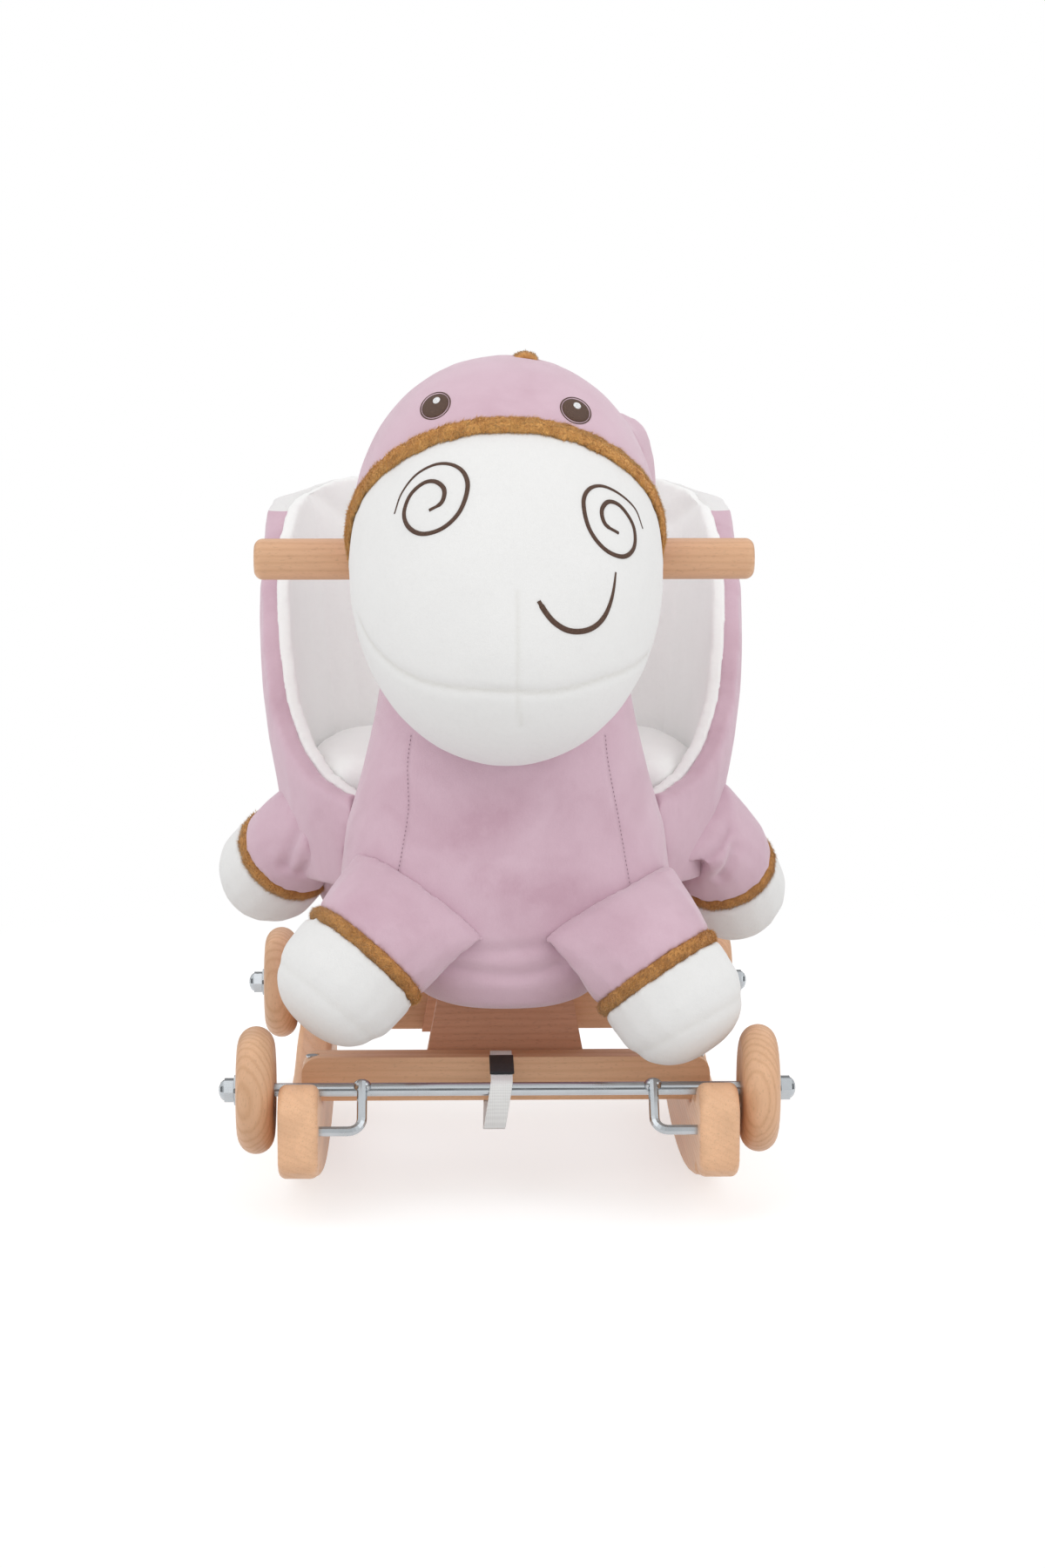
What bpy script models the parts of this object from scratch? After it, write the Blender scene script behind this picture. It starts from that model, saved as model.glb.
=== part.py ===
"""Plush rocking horse with fold-over wheels.

A stuffed horse with a tub seat stands on two beech rockers. At each end a steel axle
with two wooden wheels swings about pins in the rocker noses: stowed on top of the noses
the horse rocks, swung over and under them it rolls.

Frame: metres, +Z up, the horse faces -Y. The origin is on the floor under the middle of
the whole horse.
"""

import math

import bmesh
import bpy
from mathutils import Matrix, Vector

# Clearances.
GAP = 0.0003
SEAT_GAP = 0.0004
BORE_GAP = 0.0003
PLUSH_GAP = 0.0008

# Axles, cranks and wheels.
WHEELBASE = 0.350
ROD_R = 0.004
CRANK_WIRE_R = 0.003
CRANK_AHEAD = 0.0254
CRANK_RISE = 0.0195
CRANK_INSET = 0.025
CRANK_BEND_R = 0.008
CRANK_TAIL = 0.001
WELD_SINK = 0.0008
PIN_DEPTH = 0.014
STOWED_BELOW = math.radians(64)
WHEEL_R = 0.038
WHEEL_WIDTH = 0.022
WHEEL_FLAT_R = 0.026
WHEEL_SIDE_GAP = 0.00325
WASHER_R = 0.009
WASHER_THICK = 0.0016
NUT_ACROSS = 0.013
NUT_HEX_HIGH = 0.0055
NUT_DOME_HIGH = 0.0035
NUT_DOME_R = 0.0061
DOME_SINK = 0.001

# Rockers and the bars between them.
ROCKER_PAST_BAR = 0.0105
ROCKER_THICK = 0.0235
ROCKER_RADIUS = 0.714
ROCKER_FACET = math.radians(2.6)
ROCKER_MID_TOP = 0.044
PIN_Z = 0.055
NOSE_FLAT = 0.022
SEAT_LIP_TURN = math.radians(25)
SEAT_LIP_RISE = math.radians(10)
TOP_EDGE_FALL = (0.15, 0.4, 0.65, 0.85, 1.0)
TOP_EDGE_DIP = (0.25, 0.5, 0.75)
CROSSBAR_Y = 0.111
CROSSBAR_LONG = 0.248
CROSSBAR_DEEP = 0.024
CROSSBAR_HIGH = 0.0265
CROSSBAR_CORNER_R = 0.010
CROSSBAR_SEAT_Z = 0.056
SUPPORT_FOOT_WIDE = 0.104
SUPPORT_TOP_WIDE = 0.082
SUPPORT_THICK = 0.018
SUPPORT_BOTTOM_Z = 0.058
SUPPORT_TOP_Z = 0.1165

# Boards inside the horse.
SEAT_BOARD_THICK = 0.012
SEAT_BOARD_HALF_WIDE = 0.062
SEAT_BOARD_NOSE_HALF_WIDE = 0.026
SEAT_BOARD_NOSE_Y = -0.122
SEAT_BOARD_SHOULDER_Y = -0.035
BACK_BOARD_THICK = 0.009
BACK_BOARD_HALF_WIDE = 0.072
BACK_BOARD_FOOT_HALF_WIDE = 0.042
BACK_BOARD_FOOT_Z = 0.160
BACK_BOARD_WIDE_FROM_Z = 0.300
BACK_BOARD_TOP_Z = 0.400
BACK_BOARD_DROP = 0.008
BACK_BOARD_CORNER_R = 0.018
TENON_WIDE = 0.036
NECK_BOARD_THICK = 0.015
NECK_BOARD_FRONT_Y = -0.118
NECK_BOARD_REAR_Y = -0.052
NECK_BOARD_TOP_Z = 0.407
NECK_BOARD_TAPER = 0.1

# Handle.
HANDLE_R = 0.0125
HANDLE_LONG = 0.304
HANDLE_ROUND_R = 0.005
HANDLE_Y = -0.078
HANDLE_Z = 0.382

# Wood screws, sunk a little under the face.
SCREW_HEAD_R = 0.0042
SCREW_HEAD_DEEP = 0.003
SCREW_RIM = 0.0004
SCREW_SINK = 0.001
SCREW_SHANK_R = 0.0021
SCREW_TIP = 0.004
CROSSBAR_SCREW_LONG = 0.050
SUPPORT_SCREW_LONG = 0.036
SUPPORT_SCREW_Z = 0.070
HANDLE_SCREW_LONG = 0.026

# Head: an egg whose long axis dips forward, blunter behind, parted by a ring into hood and
# muzzle. The fur trim over the parting is a flattened ring sunk into the head.
HEAD_Y = -0.133
HEAD_Z = 0.384
HEAD_R = 0.0936
HEAD_HALF_LONG = 0.132
HEAD_DIP = math.radians(43)
HEAD_FRONT_SQUARENESS = 2.10
HEAD_BACK_SQUARENESS = 2.44
TRIM_BACK = 0.021
TRIM_R = 0.0042
TRIM_WIDENED = 1.95
TRIM_SINK = 0.0024
MANE_R = 0.0085
MANE_SINK = 0.003
MANE_FROM = math.radians(43)
MANE_TO = math.radians(-28)
EAR_HALF_LONG = 0.040
EAR_HALF_WIDE = 0.021
EAR_HALF_THICK = 0.007
# An ear's middle as shares of the head's half width, half height and half length.
LEFT_EAR_AT = (0.629, -0.233, -0.803)
LEFT_EAR_WAY = (0.10, 0.33, -0.94)
RIGHT_EAR_AT = (0.840, 0.100, -0.580)
RIGHT_EAR_WAY = (0.26, 0.62, -0.74)

# Chest and rear body: height, middle, half width and half depth of each level.
CHEST_LEVELS = (
    (0.117, -0.088, 0.042, 0.055),
    (0.121, -0.092, 0.050, 0.062),
    (0.134, -0.098, 0.064, 0.066),
    (0.158, -0.102, 0.085, 0.068),
    (0.190, -0.102, 0.100, 0.069),
    (0.222, -0.100, 0.096, 0.067),
    (0.255, -0.098, 0.085, 0.063),
    (0.290, -0.096, 0.077, 0.060),
    (0.330, -0.095, 0.072, 0.058),
    (0.372, -0.095, 0.066, 0.054),
)
CHEST_SQUARENESS = 2.3
REAR_LEVELS = (
    (0.117, 0.062, 0.082, 0.100),
    (0.122, 0.060, 0.095, 0.107),
    (0.142, 0.051, 0.105, 0.119),
    (0.175, 0.042, 0.118, 0.128),
    (0.203, 0.034, 0.131, 0.136),
    (0.212, 0.034, 0.130, 0.134),
)
REAR_SQUARENESS = 3.2

# Tub seat: inner face from the middle of the back round to the front of one side, as
# floor x, floor y, rim x, rim y and rim height. The wall thickens towards the back.
TUB_FLOOR_Z = 0.2125
TUB_STATIONS = (
    (0.000, 0.131, 0.000, 0.137, 0.427),
    (0.062, 0.128, 0.076, 0.134, 0.425),
    (0.102, 0.110, 0.120, 0.119, 0.416),
    (0.116, 0.066, 0.134, 0.084, 0.397),
    (0.119, 0.015, 0.136, 0.030, 0.346),
    (0.112, -0.030, 0.126, -0.024, 0.283),
    (0.096, -0.060, 0.103, -0.060, 0.246),
    (0.074, -0.084, 0.076, -0.086, 0.236),
)
LINING_THICK = 0.007
PAD_GAP = 0.001
SIDE_PAD_THICK = 0.009
SIDE_BULGE = 0.003
RIM_ROUND = 0.25
TUB_STEPS = 26
TUB_LEVELS = (0.0, 0.2, 0.45, 0.7, 0.9, 1.0)
BACK_PAD_THICK = 0.024
BACK_PAD_UNTIL = 0.25
SIDE_PAD_FROM = 0.45
CUSHION_CROWN_Z = 0.260
CUSHION_SIDE_Z = 0.250
CUSHION_SIDE_GAP = 0.0015
CUSHION_DRAWN_IN = 0.004
CUSHION_FRONT_Y = -0.060
CUSHION_REACH = 0.93
CUSHION_STEPS = 22
CUSHION_FOOT_HIGH = 0.012
CUSHION_EDGE_HIGH = 0.007
CUSHION_CROWN_IN = 0.040

# Legs: the middle of the fur band, the way the leg points, and the way of the line along
# which its cuff is sewn flat to the body.
FRONT_LEFT_LEG = ((-0.084, -0.165, 0.153), (-0.65, -0.27, -0.71), (-0.77, 0.45, 0.45))
FRONT_RIGHT_LEG = ((0.089, -0.165, 0.142), (0.55, -0.24, -0.80), (0.84, 0.45, 0.30))
REAR_LEFT_LEG = ((-0.137, -0.010, 0.191), (-0.50, 0.62, -0.60), (0.0, 0.70, 0.70))
REAR_RIGHT_LEG = ((0.141, -0.010, 0.181), (0.30, 0.60, -0.74), (0.0, 0.75, 0.65))
# Sizes of front and rear legs: radii at the band and of the paw, lengths of cuff and paw,
# and half width, half thickness and bow of the cuff where it is sewn on.
FRONT_LEG_SIZES = (0.0395, 0.0412, 0.044, 0.050, 0.048, 0.007, 0.012)
REAR_LEG_SIZES = (0.0310, 0.0350, 0.046, 0.046, 0.040, 0.014, 0.004)
CUFF_SINK = 0.018
PAW_SQUARENESS = 2.6
BAND_LONG = 0.0075
BAND_PROUD = 0.0012
BAND_ROUND = 0.002

# Tail.
TAIL_R = 0.009
TAIL_PATH = ((0.150, 0.196), (0.172, 0.197), (0.192, 0.190), (0.207, 0.176))
TUFT_HALF_LONG = 0.030
TUFT_R = 0.017
TUFT_MIDDLE = (0.22464, 0.1565)

# Strap that ties each stowed axle to its crossbar.
STRAP_WIDE = 0.013
STRAP_THICK = 0.0014
STRAP_X_TOP = -0.003
STRAP_X_BOTTOM = -0.008
STRAP_SLACK = 0.021
HOOK_PAD_REACH = 0.8
HOOK_PAD_THICK = 0.0014
HOOK_PAD_WIDE = 0.0145

# Fineness: sides of round pieces and of stuffed forms.
ROD_SIDES = 20
WHEEL_SIDES = 26
SMALL_SIDES = 10
FORM_SIDES = 28
HEAD_ROWS = 18
TRIM_SIDES = 32
TRIM_WIRE_SIDES = 8
EAR_SIDES = 14
EAR_ROWS = 8
WIRE_SIDES = 12
MANE_STEPS = 8
ARC_STEPS = 7
LEG_SIDES = 16

# Places that follow from the sizes above.
PIN_Y = WHEELBASE / 2 + CRANK_AHEAD
CRANK_R = math.hypot(CRANK_AHEAD, CRANK_RISE)
REST_ANGLE = math.atan2(CRANK_RISE, CRANK_AHEAD)
NOSE_R = CRANK_R - ROD_R - SEAT_GAP
ROCKER_OUTER_X = CROSSBAR_LONG / 2 + ROCKER_PAST_BAR
ROCKER_INNER_X = ROCKER_OUTER_X - ROCKER_THICK
CRANK_X = ROCKER_INNER_X - CRANK_INSET
CROSSBAR_BOTTOM_Z = CROSSBAR_SEAT_Z + GAP
CROSSBAR_TOP_Z = CROSSBAR_BOTTOM_Z + CROSSBAR_HIGH
CROSSBAR_BACK = CROSSBAR_DEEP / 2
SUPPORT_Y = CROSSBAR_Y - CROSSBAR_BACK - GAP - SUPPORT_THICK / 2
SEAT_BOARD_Z = SUPPORT_TOP_Z + GAP
SEAT_BOARD_TOP_Z = SEAT_BOARD_Z + SEAT_BOARD_THICK
WHEEL_INNER_X = ROCKER_OUTER_X + WHEEL_SIDE_GAP
WHEEL_OUTER_X = WHEEL_INNER_X + WHEEL_WIDTH
NUT_X = WHEEL_OUTER_X + GAP + WASHER_THICK + GAP
ROD_HALF_LONG = NUT_X + NUT_HEX_HIGH
BACK_PAD_INNER_Y = TUB_STATIONS[0][3] + LINING_THICK + PAD_GAP
BACK_BOARD_Y = BACK_PAD_INNER_Y + (BACK_PAD_THICK - BACK_BOARD_THICK) / 2

# Local axes for flat outlines: drawn in the named world plane, thickness along the third axis.
SIDE_PLANE = Matrix(((0, 0, 1), (1, 0, 0), (0, 1, 0))).to_4x4()
FRONT_PLANE = Matrix(((1, 0, 0), (0, 0, -1), (0, 1, 0))).to_4x4()
LEVEL_PLANE = Matrix.Identity(4)


def clear_scene():
    """Remove whatever objects the open file holds."""
    for old in list(bpy.data.objects):
        bpy.data.objects.remove(old, do_unlink=True)


def make_collection(name):
    """A new collection under the scene."""
    group = bpy.data.collections.new(name)
    bpy.context.scene.collection.children.link(group)
    return group


def make_material(name, colour, roughness, metallic=0.0):
    """One Principled material."""
    made = bpy.data.materials.new(name)
    made.use_nodes = True
    shader = made.node_tree.nodes["Principled BSDF"]
    shader.inputs["Base Color"].default_value = (*colour, 1.0)
    shader.inputs["Roughness"].default_value = roughness
    shader.inputs["Metallic"].default_value = metallic
    made.diffuse_color = (*colour, 1.0)
    return made


clear_scene()
HORSE = make_collection("rocking_horse")
CUTTERS = make_collection("cutters")

BEECH = make_material("beech", (0.72, 0.46, 0.28), 0.55)
PLYWOOD = make_material("plywood", (0.62, 0.42, 0.27), 0.65)
STEEL = make_material("zinc_steel", (0.66, 0.68, 0.71), 0.3, 1.0)
VELOUR = make_material("pink_velour", (0.66, 0.42, 0.50), 0.9)
WHITE = make_material("white_plush", (0.86, 0.86, 0.84), 0.95)
BROWN = make_material("brown_fur", (0.33, 0.17, 0.07), 0.95)
WEBBING = make_material("white_webbing", (0.85, 0.85, 0.85), 0.8)
HOOK = make_material("black_hook_tape", (0.02, 0.02, 0.02), 0.9)


def make_object(name, mesh, material, place=None, parent=None):
    """A named object in the horse's collection, with its own copy of the material."""
    made = bpy.data.objects.new(name, mesh)
    HORSE.objects.link(made)
    if material:
        own = material.copy()
        own.name = name + "_" + material.name
        mesh.materials.clear()
        mesh.materials.append(own)
    if parent:
        made.parent = parent
    if place is not None:
        made.matrix_local = place
    return made


def make_mesh(name, builder):
    """A mesh filled by builder, which works on a bmesh."""
    shape = bmesh.new()
    builder(shape)
    mesh = bpy.data.meshes.new(name)
    shape.to_mesh(mesh)
    shape.free()
    return mesh


def as_cutter(tool):
    """Mark an object as a cutter, outside the horse."""
    if tool.display_type == "WIRE":
        return tool
    for group in list(tool.users_collection):
        group.objects.unlink(tool)
    CUTTERS.objects.link(tool)
    tool.hide_render = True
    tool.display_type = "WIRE"
    return tool


def add_boolean(target, tool, operation):
    """Boolean with an object of the cutters' collection."""
    step = target.modifiers.new(operation.lower(), "BOOLEAN")
    step.operation = operation
    step.solver = "EXACT"
    step.object = tool
    return target


def cut(target, *tools):
    """Take each tool away from the target."""
    for tool in tools:
        add_boolean(target, as_cutter(tool), "DIFFERENCE")
    return target


def evaluated_mesh(source):
    """A new mesh of the object with its modifiers, in world space, welded."""
    bpy.context.view_layer.update()
    graph = bpy.context.evaluated_depsgraph_get()
    mesh = bpy.data.meshes.new_from_object(source.evaluated_get(graph))
    mesh.transform(source.matrix_world)
    shape = bmesh.new()
    shape.from_mesh(mesh)
    bmesh.ops.remove_doubles(shape, verts=shape.verts, dist=1e-6)
    shape.to_mesh(mesh)
    shape.free()
    return mesh


def grown_cutter(source, gap=GAP):
    """A cutter of the object's shape in triangles, standing proud of it by the gap."""
    mesh = evaluated_mesh(source)
    shape = bmesh.new()
    shape.from_mesh(mesh)
    normals = [vertex.normal.copy() for vertex in shape.verts]
    for vertex, normal in zip(shape.verts, normals):
        vertex.co += normal * gap
    bmesh.ops.triangulate(shape, faces=shape.faces)
    shape.to_mesh(mesh)
    shape.free()
    return as_cutter(make_object(source.name + "_room", mesh, None))


def shade_round(target, sharp_from=35):
    """Smooth shading with sharp edges kept."""
    target.data.shade_smooth()
    target.data.set_sharp_from_angle(angle=math.radians(sharp_from))
    return target


def make_rod(name, radius, start, end, material, sides=ROD_SIDES):
    """A round bar from the cone primitive between two points."""
    start, end = Vector(start), Vector(end)
    along = end - start
    place = Matrix.Translation((start + end) / 2) @ along.to_track_quat("Z", "Y").to_matrix().to_4x4()

    def build(shape):
        bmesh.ops.create_cone(
            shape, cap_ends=True, segments=sides, radius1=radius, radius2=radius,
            depth=along.length, matrix=place)

    return make_object(name, make_mesh(name, build), material)


def make_turned(name, profile, material, place=None, parent=None, steps=ROD_SIDES, closed=False):
    """A turned piece: profile of (radius, height), down its outer side, spun about local Z."""
    mesh = bpy.data.meshes.new(name)
    count = len(profile)
    edges = [(i, i + 1) for i in range(count - 1)]
    if closed:
        edges.append((count - 1, 0))
    mesh.from_pydata([(radius, 0.0, height) for radius, height in profile], edges, [])
    made = make_object(name, mesh, material, place, parent)
    spin = made.modifiers.new("spin", "SCREW")
    spin.axis = "Z"
    spin.angle = math.tau
    spin.steps = steps
    spin.render_steps = steps
    spin.use_merge_vertices = True
    spin.merge_threshold = 1e-5
    return made


def make_plate(name, outline, thick, material, plane, offset):
    """A flat outline as a filled curve, made a mesh: drawn in plane, centred at offset."""
    curve = bpy.data.curves.new(name, "CURVE")
    curve.dimensions = "2D"
    curve.fill_mode = "BOTH"
    curve.extrude = thick / 2
    spline = curve.splines.new("POLY")
    spline.points.add(len(outline) - 1)
    for point, (across, up) in zip(spline.points, outline):
        point.co = (across, up, 0.0, 1.0)
    spline.use_cyclic_u = True
    drawn = bpy.data.objects.new(name + "_outline", curve)
    CUTTERS.objects.link(drawn)
    drawn.matrix_world = Matrix.Translation(offset) @ plane
    mesh = evaluated_mesh(drawn)
    bpy.data.objects.remove(drawn, do_unlink=True)
    return make_object(name, mesh, material)


def grown_outline(outline, gap):
    """An outline moved outwards by the gap, its corners kept sharp."""
    corners = [Vector(corner) for corner in outline]
    before = corners[-1:] + corners[:-1]
    after = corners[1:] + corners[:1]
    area = sum(here.x * there.y - there.x * here.y for here, there in zip(corners, after))
    hand = math.copysign(1.0, area)
    grown = []
    for last, here, there in zip(before, corners, after):
        coming, going = (here - last).normalized(), (there - here).normalized()
        first = Vector((coming.y, -coming.x)) * hand
        second = Vector((going.y, -going.x)) * hand
        middle = (first + second).normalized()
        grown.append(here + middle * gap / middle.dot(first))
    return grown


def make_board(name, outline, thick, plane, offset):
    """A plywood board, and cutters of its shape: a close slot and a room in the stuffing."""
    board = make_plate(name, outline, thick, PLYWOOD, plane, offset)
    cutters = []
    for use, gap in (("_slot", GAP), ("_room", PLUSH_GAP)):
        grown = grown_outline(outline, gap)
        cutters.append(as_cutter(make_plate(name + use, grown, thick + 2 * gap, None, plane, offset)))
    return board, *cutters


def make_wire(name, points, radius, material):
    """A bent wire as a curve with filled caps, made a mesh."""
    curve = bpy.data.curves.new(name, "CURVE")
    curve.dimensions = "3D"
    curve.bevel_depth = radius
    curve.bevel_resolution = WIRE_SIDES // 4 - 1
    curve.use_fill_caps = True
    spline = curve.splines.new("POLY")
    spline.points.add(len(points) - 1)
    for point, position in zip(spline.points, points):
        point.co = (*position, 1.0)
    drawn = bpy.data.objects.new(name + "_path", curve)
    CUTTERS.objects.link(drawn)
    mesh = evaluated_mesh(drawn)
    bpy.data.objects.remove(drawn, do_unlink=True)
    return make_object(name, mesh, material)


def make_loft(name, rings, material):
    """A closed body through rings of equal count, with its ends closed, in triangles."""

    def build(shape):
        rows = [[shape.verts.new(point) for point in ring] for ring in rings]
        for low, high in zip(rows, rows[1:]):
            for i in range(len(low)):
                j = (i + 1) % len(low)
                shape.faces.new((low[i], low[j], high[j], high[i]))
        shape.faces.new(reversed(rows[0]))
        shape.faces.new(rows[-1])
        bmesh.ops.recalc_face_normals(shape, faces=shape.faces)
        bmesh.ops.triangulate(shape, faces=shape.faces)

    return shade_round(make_object(name, make_mesh(name, build), material), 50)


def make_egg(name, centre, semi_axes, turn, material, sides, rows):
    """A sphere primitive stretched to three semi-axes and turned."""
    place = Matrix.Translation(centre) @ turn @ Matrix.Diagonal((*semi_axes, 1.0))

    def build(shape):
        bmesh.ops.create_uvsphere(shape, u_segments=sides, v_segments=rows, radius=1.0, matrix=place)

    return shade_round(make_object(name, make_mesh(name, build), material))


def head_section(turn):
    """The head's outline at a turn from its front pole, as shares of half length and half width."""
    ahead, across = math.cos(turn), math.sin(turn)
    squareness = HEAD_FRONT_SQUARENESS if ahead > 0 else HEAD_BACK_SQUARENESS
    power = 2 / squareness
    return math.copysign(abs(ahead) ** power, ahead), math.copysign(abs(across) ** power, across)


def make_head_form(name, centre, turn):
    """The head's whole form: a sphere primitive stretched, blunted and turned."""
    place = Matrix.Translation(centre) @ turn @ Matrix.Diagonal((HEAD_R, HEAD_R, HEAD_HALF_LONG, 1.0))

    def build(shape):
        bmesh.ops.create_uvsphere(shape, u_segments=FORM_SIDES, v_segments=HEAD_ROWS, radius=1.0)
        for vert in shape.verts:
            outwards = Vector((vert.co.x, vert.co.y, 0.0))
            ahead, across = head_section(math.atan2(outwards.length, vert.co.z))
            outwards.normalize()
            vert.co = place @ (outwards * across + Vector((0.0, 0.0, ahead)))

    return shade_round(make_object(name, make_mesh(name, build), None))


def squared_round(half_x, half_y, centre_y, z, squareness, sides):
    """A ring between an ellipse and a rectangle."""
    ring = []
    for i in range(sides):
        turn = math.tau * i / sides
        along, across = math.cos(turn), math.sin(turn)
        x = half_x * math.copysign(abs(along) ** (2 / squareness), along)
        y = half_y * math.copysign(abs(across) ** (2 / squareness), across)
        ring.append((x, centre_y + y, z))
    return ring


def arc(centre, radius, start, end, steps):
    """Points along an arc in a plane, angles in radians."""
    across, up = centre
    points = []
    for i in range(steps + 1):
        turn = start + (end - start) * i / steps
        points.append((across + radius * math.cos(turn), up + radius * math.sin(turn)))
    return points


def facing(direction):
    """A turn that carries +Z to the direction."""
    return Vector(direction).to_track_quat("Z", "Y").to_matrix().to_4x4()


def screw_profile(length, grow, top):
    """A countersunk wood screw under a face at height 0, or the hole that it sits in."""
    head = SCREW_HEAD_R + grow
    shank = SCREW_SHANK_R + grow
    under = -SCREW_SINK - SCREW_HEAD_DEEP
    return (
        (0.0, top),
        (head, top),
        (head, -SCREW_SINK),
        (shank, under),
        (shank, SCREW_TIP - length),
        (0.0, -length - grow),
    )


def make_screw(name, length, place, targets):
    """One wood screw, with its hole cut in each target."""
    screw_top = SCREW_RIM - SCREW_SINK
    screw = make_turned(name, screw_profile(length, 0.0, screw_top), STEEL, place, steps=SMALL_SIDES)
    hole = make_turned(
        name + "_hole", screw_profile(length, BORE_GAP, SCREW_SINK), None, place, steps=SMALL_SIDES)
    for target in targets:
        cut(target, hole)
    return shade_round(screw)


def rocker_outline():
    """Side outline of a rocker, (y, z): nose, rod seats, rocking curve and top edge."""
    flat = ROCKER_RADIUS * (1 - math.cos(ROCKER_FACET / 2))
    pin = (-PIN_Y, PIN_Z)
    under = (pin[0] + CRANK_R * math.cos(STOWED_BELOW), pin[1] - CRANK_R * math.sin(STOWED_BELOW))
    stowed = (pin[0] + CRANK_AHEAD, pin[1] + CRANK_RISE)
    seat_r = ROD_R + SEAT_GAP
    front = []
    facets = int((PIN_Y - NOSE_FLAT) / (ROCKER_RADIUS * math.sin(ROCKER_FACET)) - 0.5)
    for k in range(facets + 1):
        turn = (k + 0.5) * ROCKER_FACET
        front.append((-ROCKER_RADIUS * math.sin(turn), ROCKER_RADIUS * (1 - math.cos(turn)) - flat))
    toward_pin = math.pi - STOWED_BELOW
    front += arc(under, seat_r, -SEAT_LIP_TURN, toward_pin, ARC_STEPS)
    flat_turn = math.acos(-NOSE_FLAT / NOSE_R)
    front += arc(pin, NOSE_R, -STOWED_BELOW, -flat_turn, ARC_STEPS)[1:]
    front += arc(pin, NOSE_R, flat_turn, REST_ANGLE, ARC_STEPS)
    front += arc(stowed, seat_r, REST_ANGLE + math.pi, math.tau - SEAT_LIP_RISE, ARC_STEPS)[1:]
    lip = front[-1]
    behind = -CROSSBAR_Y - CROSSBAR_BACK - GAP
    fall = lip[1] - CROSSBAR_SEAT_Z
    for part in TOP_EDGE_FALL:
        drop = (1 - math.cos(math.pi * part)) / 2
        front.append((lip[0] + (behind - lip[0]) * part, lip[1] - fall * drop))
    inner = -CROSSBAR_Y + CROSSBAR_BACK + GAP
    front.append((inner, CROSSBAR_SEAT_Z))
    for part in TOP_EDGE_DIP:
        drop = (1 - math.cos(math.pi * part)) / 2
        rise = CROSSBAR_SEAT_Z - ROCKER_MID_TOP
        front.append((inner * (1 - part), CROSSBAR_SEAT_Z - rise * drop))
    back = [(-y, z) for y, z in reversed(front)]
    return front + back


def crossbar_outline():
    """Front outline of a crossbar, (x, z), its top corners rounded."""
    half = CROSSBAR_LONG / 2
    inset = half - CROSSBAR_CORNER_R
    high = CROSSBAR_TOP_Z - CROSSBAR_CORNER_R
    right = arc((inset, high), CROSSBAR_CORNER_R, 0.0, math.pi / 2, 5)
    left = arc((-inset, high), CROSSBAR_CORNER_R, math.pi / 2, math.pi, 5)
    return [(-half, CROSSBAR_BOTTOM_Z), (half, CROSSBAR_BOTTOM_Z)] + right + left


def make_base():
    """Rockers, crossbars and support boards, with the screws that join them."""
    rockers = {}
    mid_x = ROCKER_INNER_X + ROCKER_THICK / 2
    for side, sign in (("left", -1), ("right", 1)):
        offset = (sign * mid_x, 0.0, 0.0)
        rocker = make_plate("rocker_" + side, rocker_outline(), ROCKER_THICK, BEECH, SIDE_PLANE, offset)
        for end in (-1, 1):
            start = (sign * (ROCKER_INNER_X - 0.002), end * PIN_Y, PIN_Z)
            stop = (sign * (ROCKER_INNER_X + PIN_DEPTH + 0.002), end * PIN_Y, PIN_Z)
            cut(rocker, make_rod("pin_bore", CRANK_WIRE_R + BORE_GAP, start, stop, None, SMALL_SIDES))
        rockers[side] = shade_round(rocker, 30)
    bars = {}
    supports = {}
    slots = {}
    foot, top, tenon = SUPPORT_FOOT_WIDE / 2, SUPPORT_TOP_WIDE / 2, TENON_WIDE / 2
    support = [
        (-foot, SUPPORT_BOTTOM_Z), (foot, SUPPORT_BOTTOM_Z), (top, SUPPORT_TOP_Z),
        (tenon, SUPPORT_TOP_Z), (tenon, SEAT_BOARD_TOP_Z), (-tenon, SEAT_BOARD_TOP_Z),
        (-tenon, SUPPORT_TOP_Z), (-top, SUPPORT_TOP_Z)]
    for end, sign in (("front", -1), ("rear", 1)):
        place = (0.0, sign * CROSSBAR_Y, 0.0)
        bars[end] = make_plate(
            "crossbar_" + end, crossbar_outline(), CROSSBAR_DEEP, BEECH, FRONT_PLANE, place)
        place = (0.0, sign * SUPPORT_Y, 0.0)
        supports[end], slots[end], _ = make_board(
            "support_board_" + end, support, SUPPORT_THICK, FRONT_PLANE, place)
    over_x = (ROCKER_INNER_X + CROSSBAR_LONG / 2) / 2
    for side, across in (("left", -1), ("right", 1)):
        for end, sign in (("front", -1), ("rear", 1)):
            place = Matrix.Translation((across * over_x, sign * CROSSBAR_Y, CROSSBAR_TOP_Z))
            make_screw("crossbar_screw_" + end + "_" + side, CROSSBAR_SCREW_LONG, place,
                       (rockers[side], bars[end]))
    for end, sign in (("front", -1), ("rear", 1)):
        inner_face = sign * (SUPPORT_Y - SUPPORT_THICK / 2)
        place = Matrix.Translation((0, inner_face, SUPPORT_SCREW_Z)) @ facing((0, -sign, 0))
        make_screw("support_screw_" + end, SUPPORT_SCREW_LONG, place, (bars[end], supports[end]))
    return slots.values()


def seat_board_outline():
    """Plan of the seat board, (x, y): narrow under the chest, wide under the seat."""
    rear = BACK_BOARD_Y - GAP
    through = BACK_BOARD_Y + BACK_BOARD_THICK
    half, nose, tenon = SEAT_BOARD_HALF_WIDE, SEAT_BOARD_NOSE_HALF_WIDE, TENON_WIDE / 2
    return [
        (-nose, SEAT_BOARD_NOSE_Y), (nose, SEAT_BOARD_NOSE_Y), (half, SEAT_BOARD_SHOULDER_Y),
        (half, rear), (tenon, rear), (tenon, through), (-tenon, through), (-tenon, rear),
        (-half, rear), (-half, SEAT_BOARD_SHOULDER_Y)]


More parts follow.
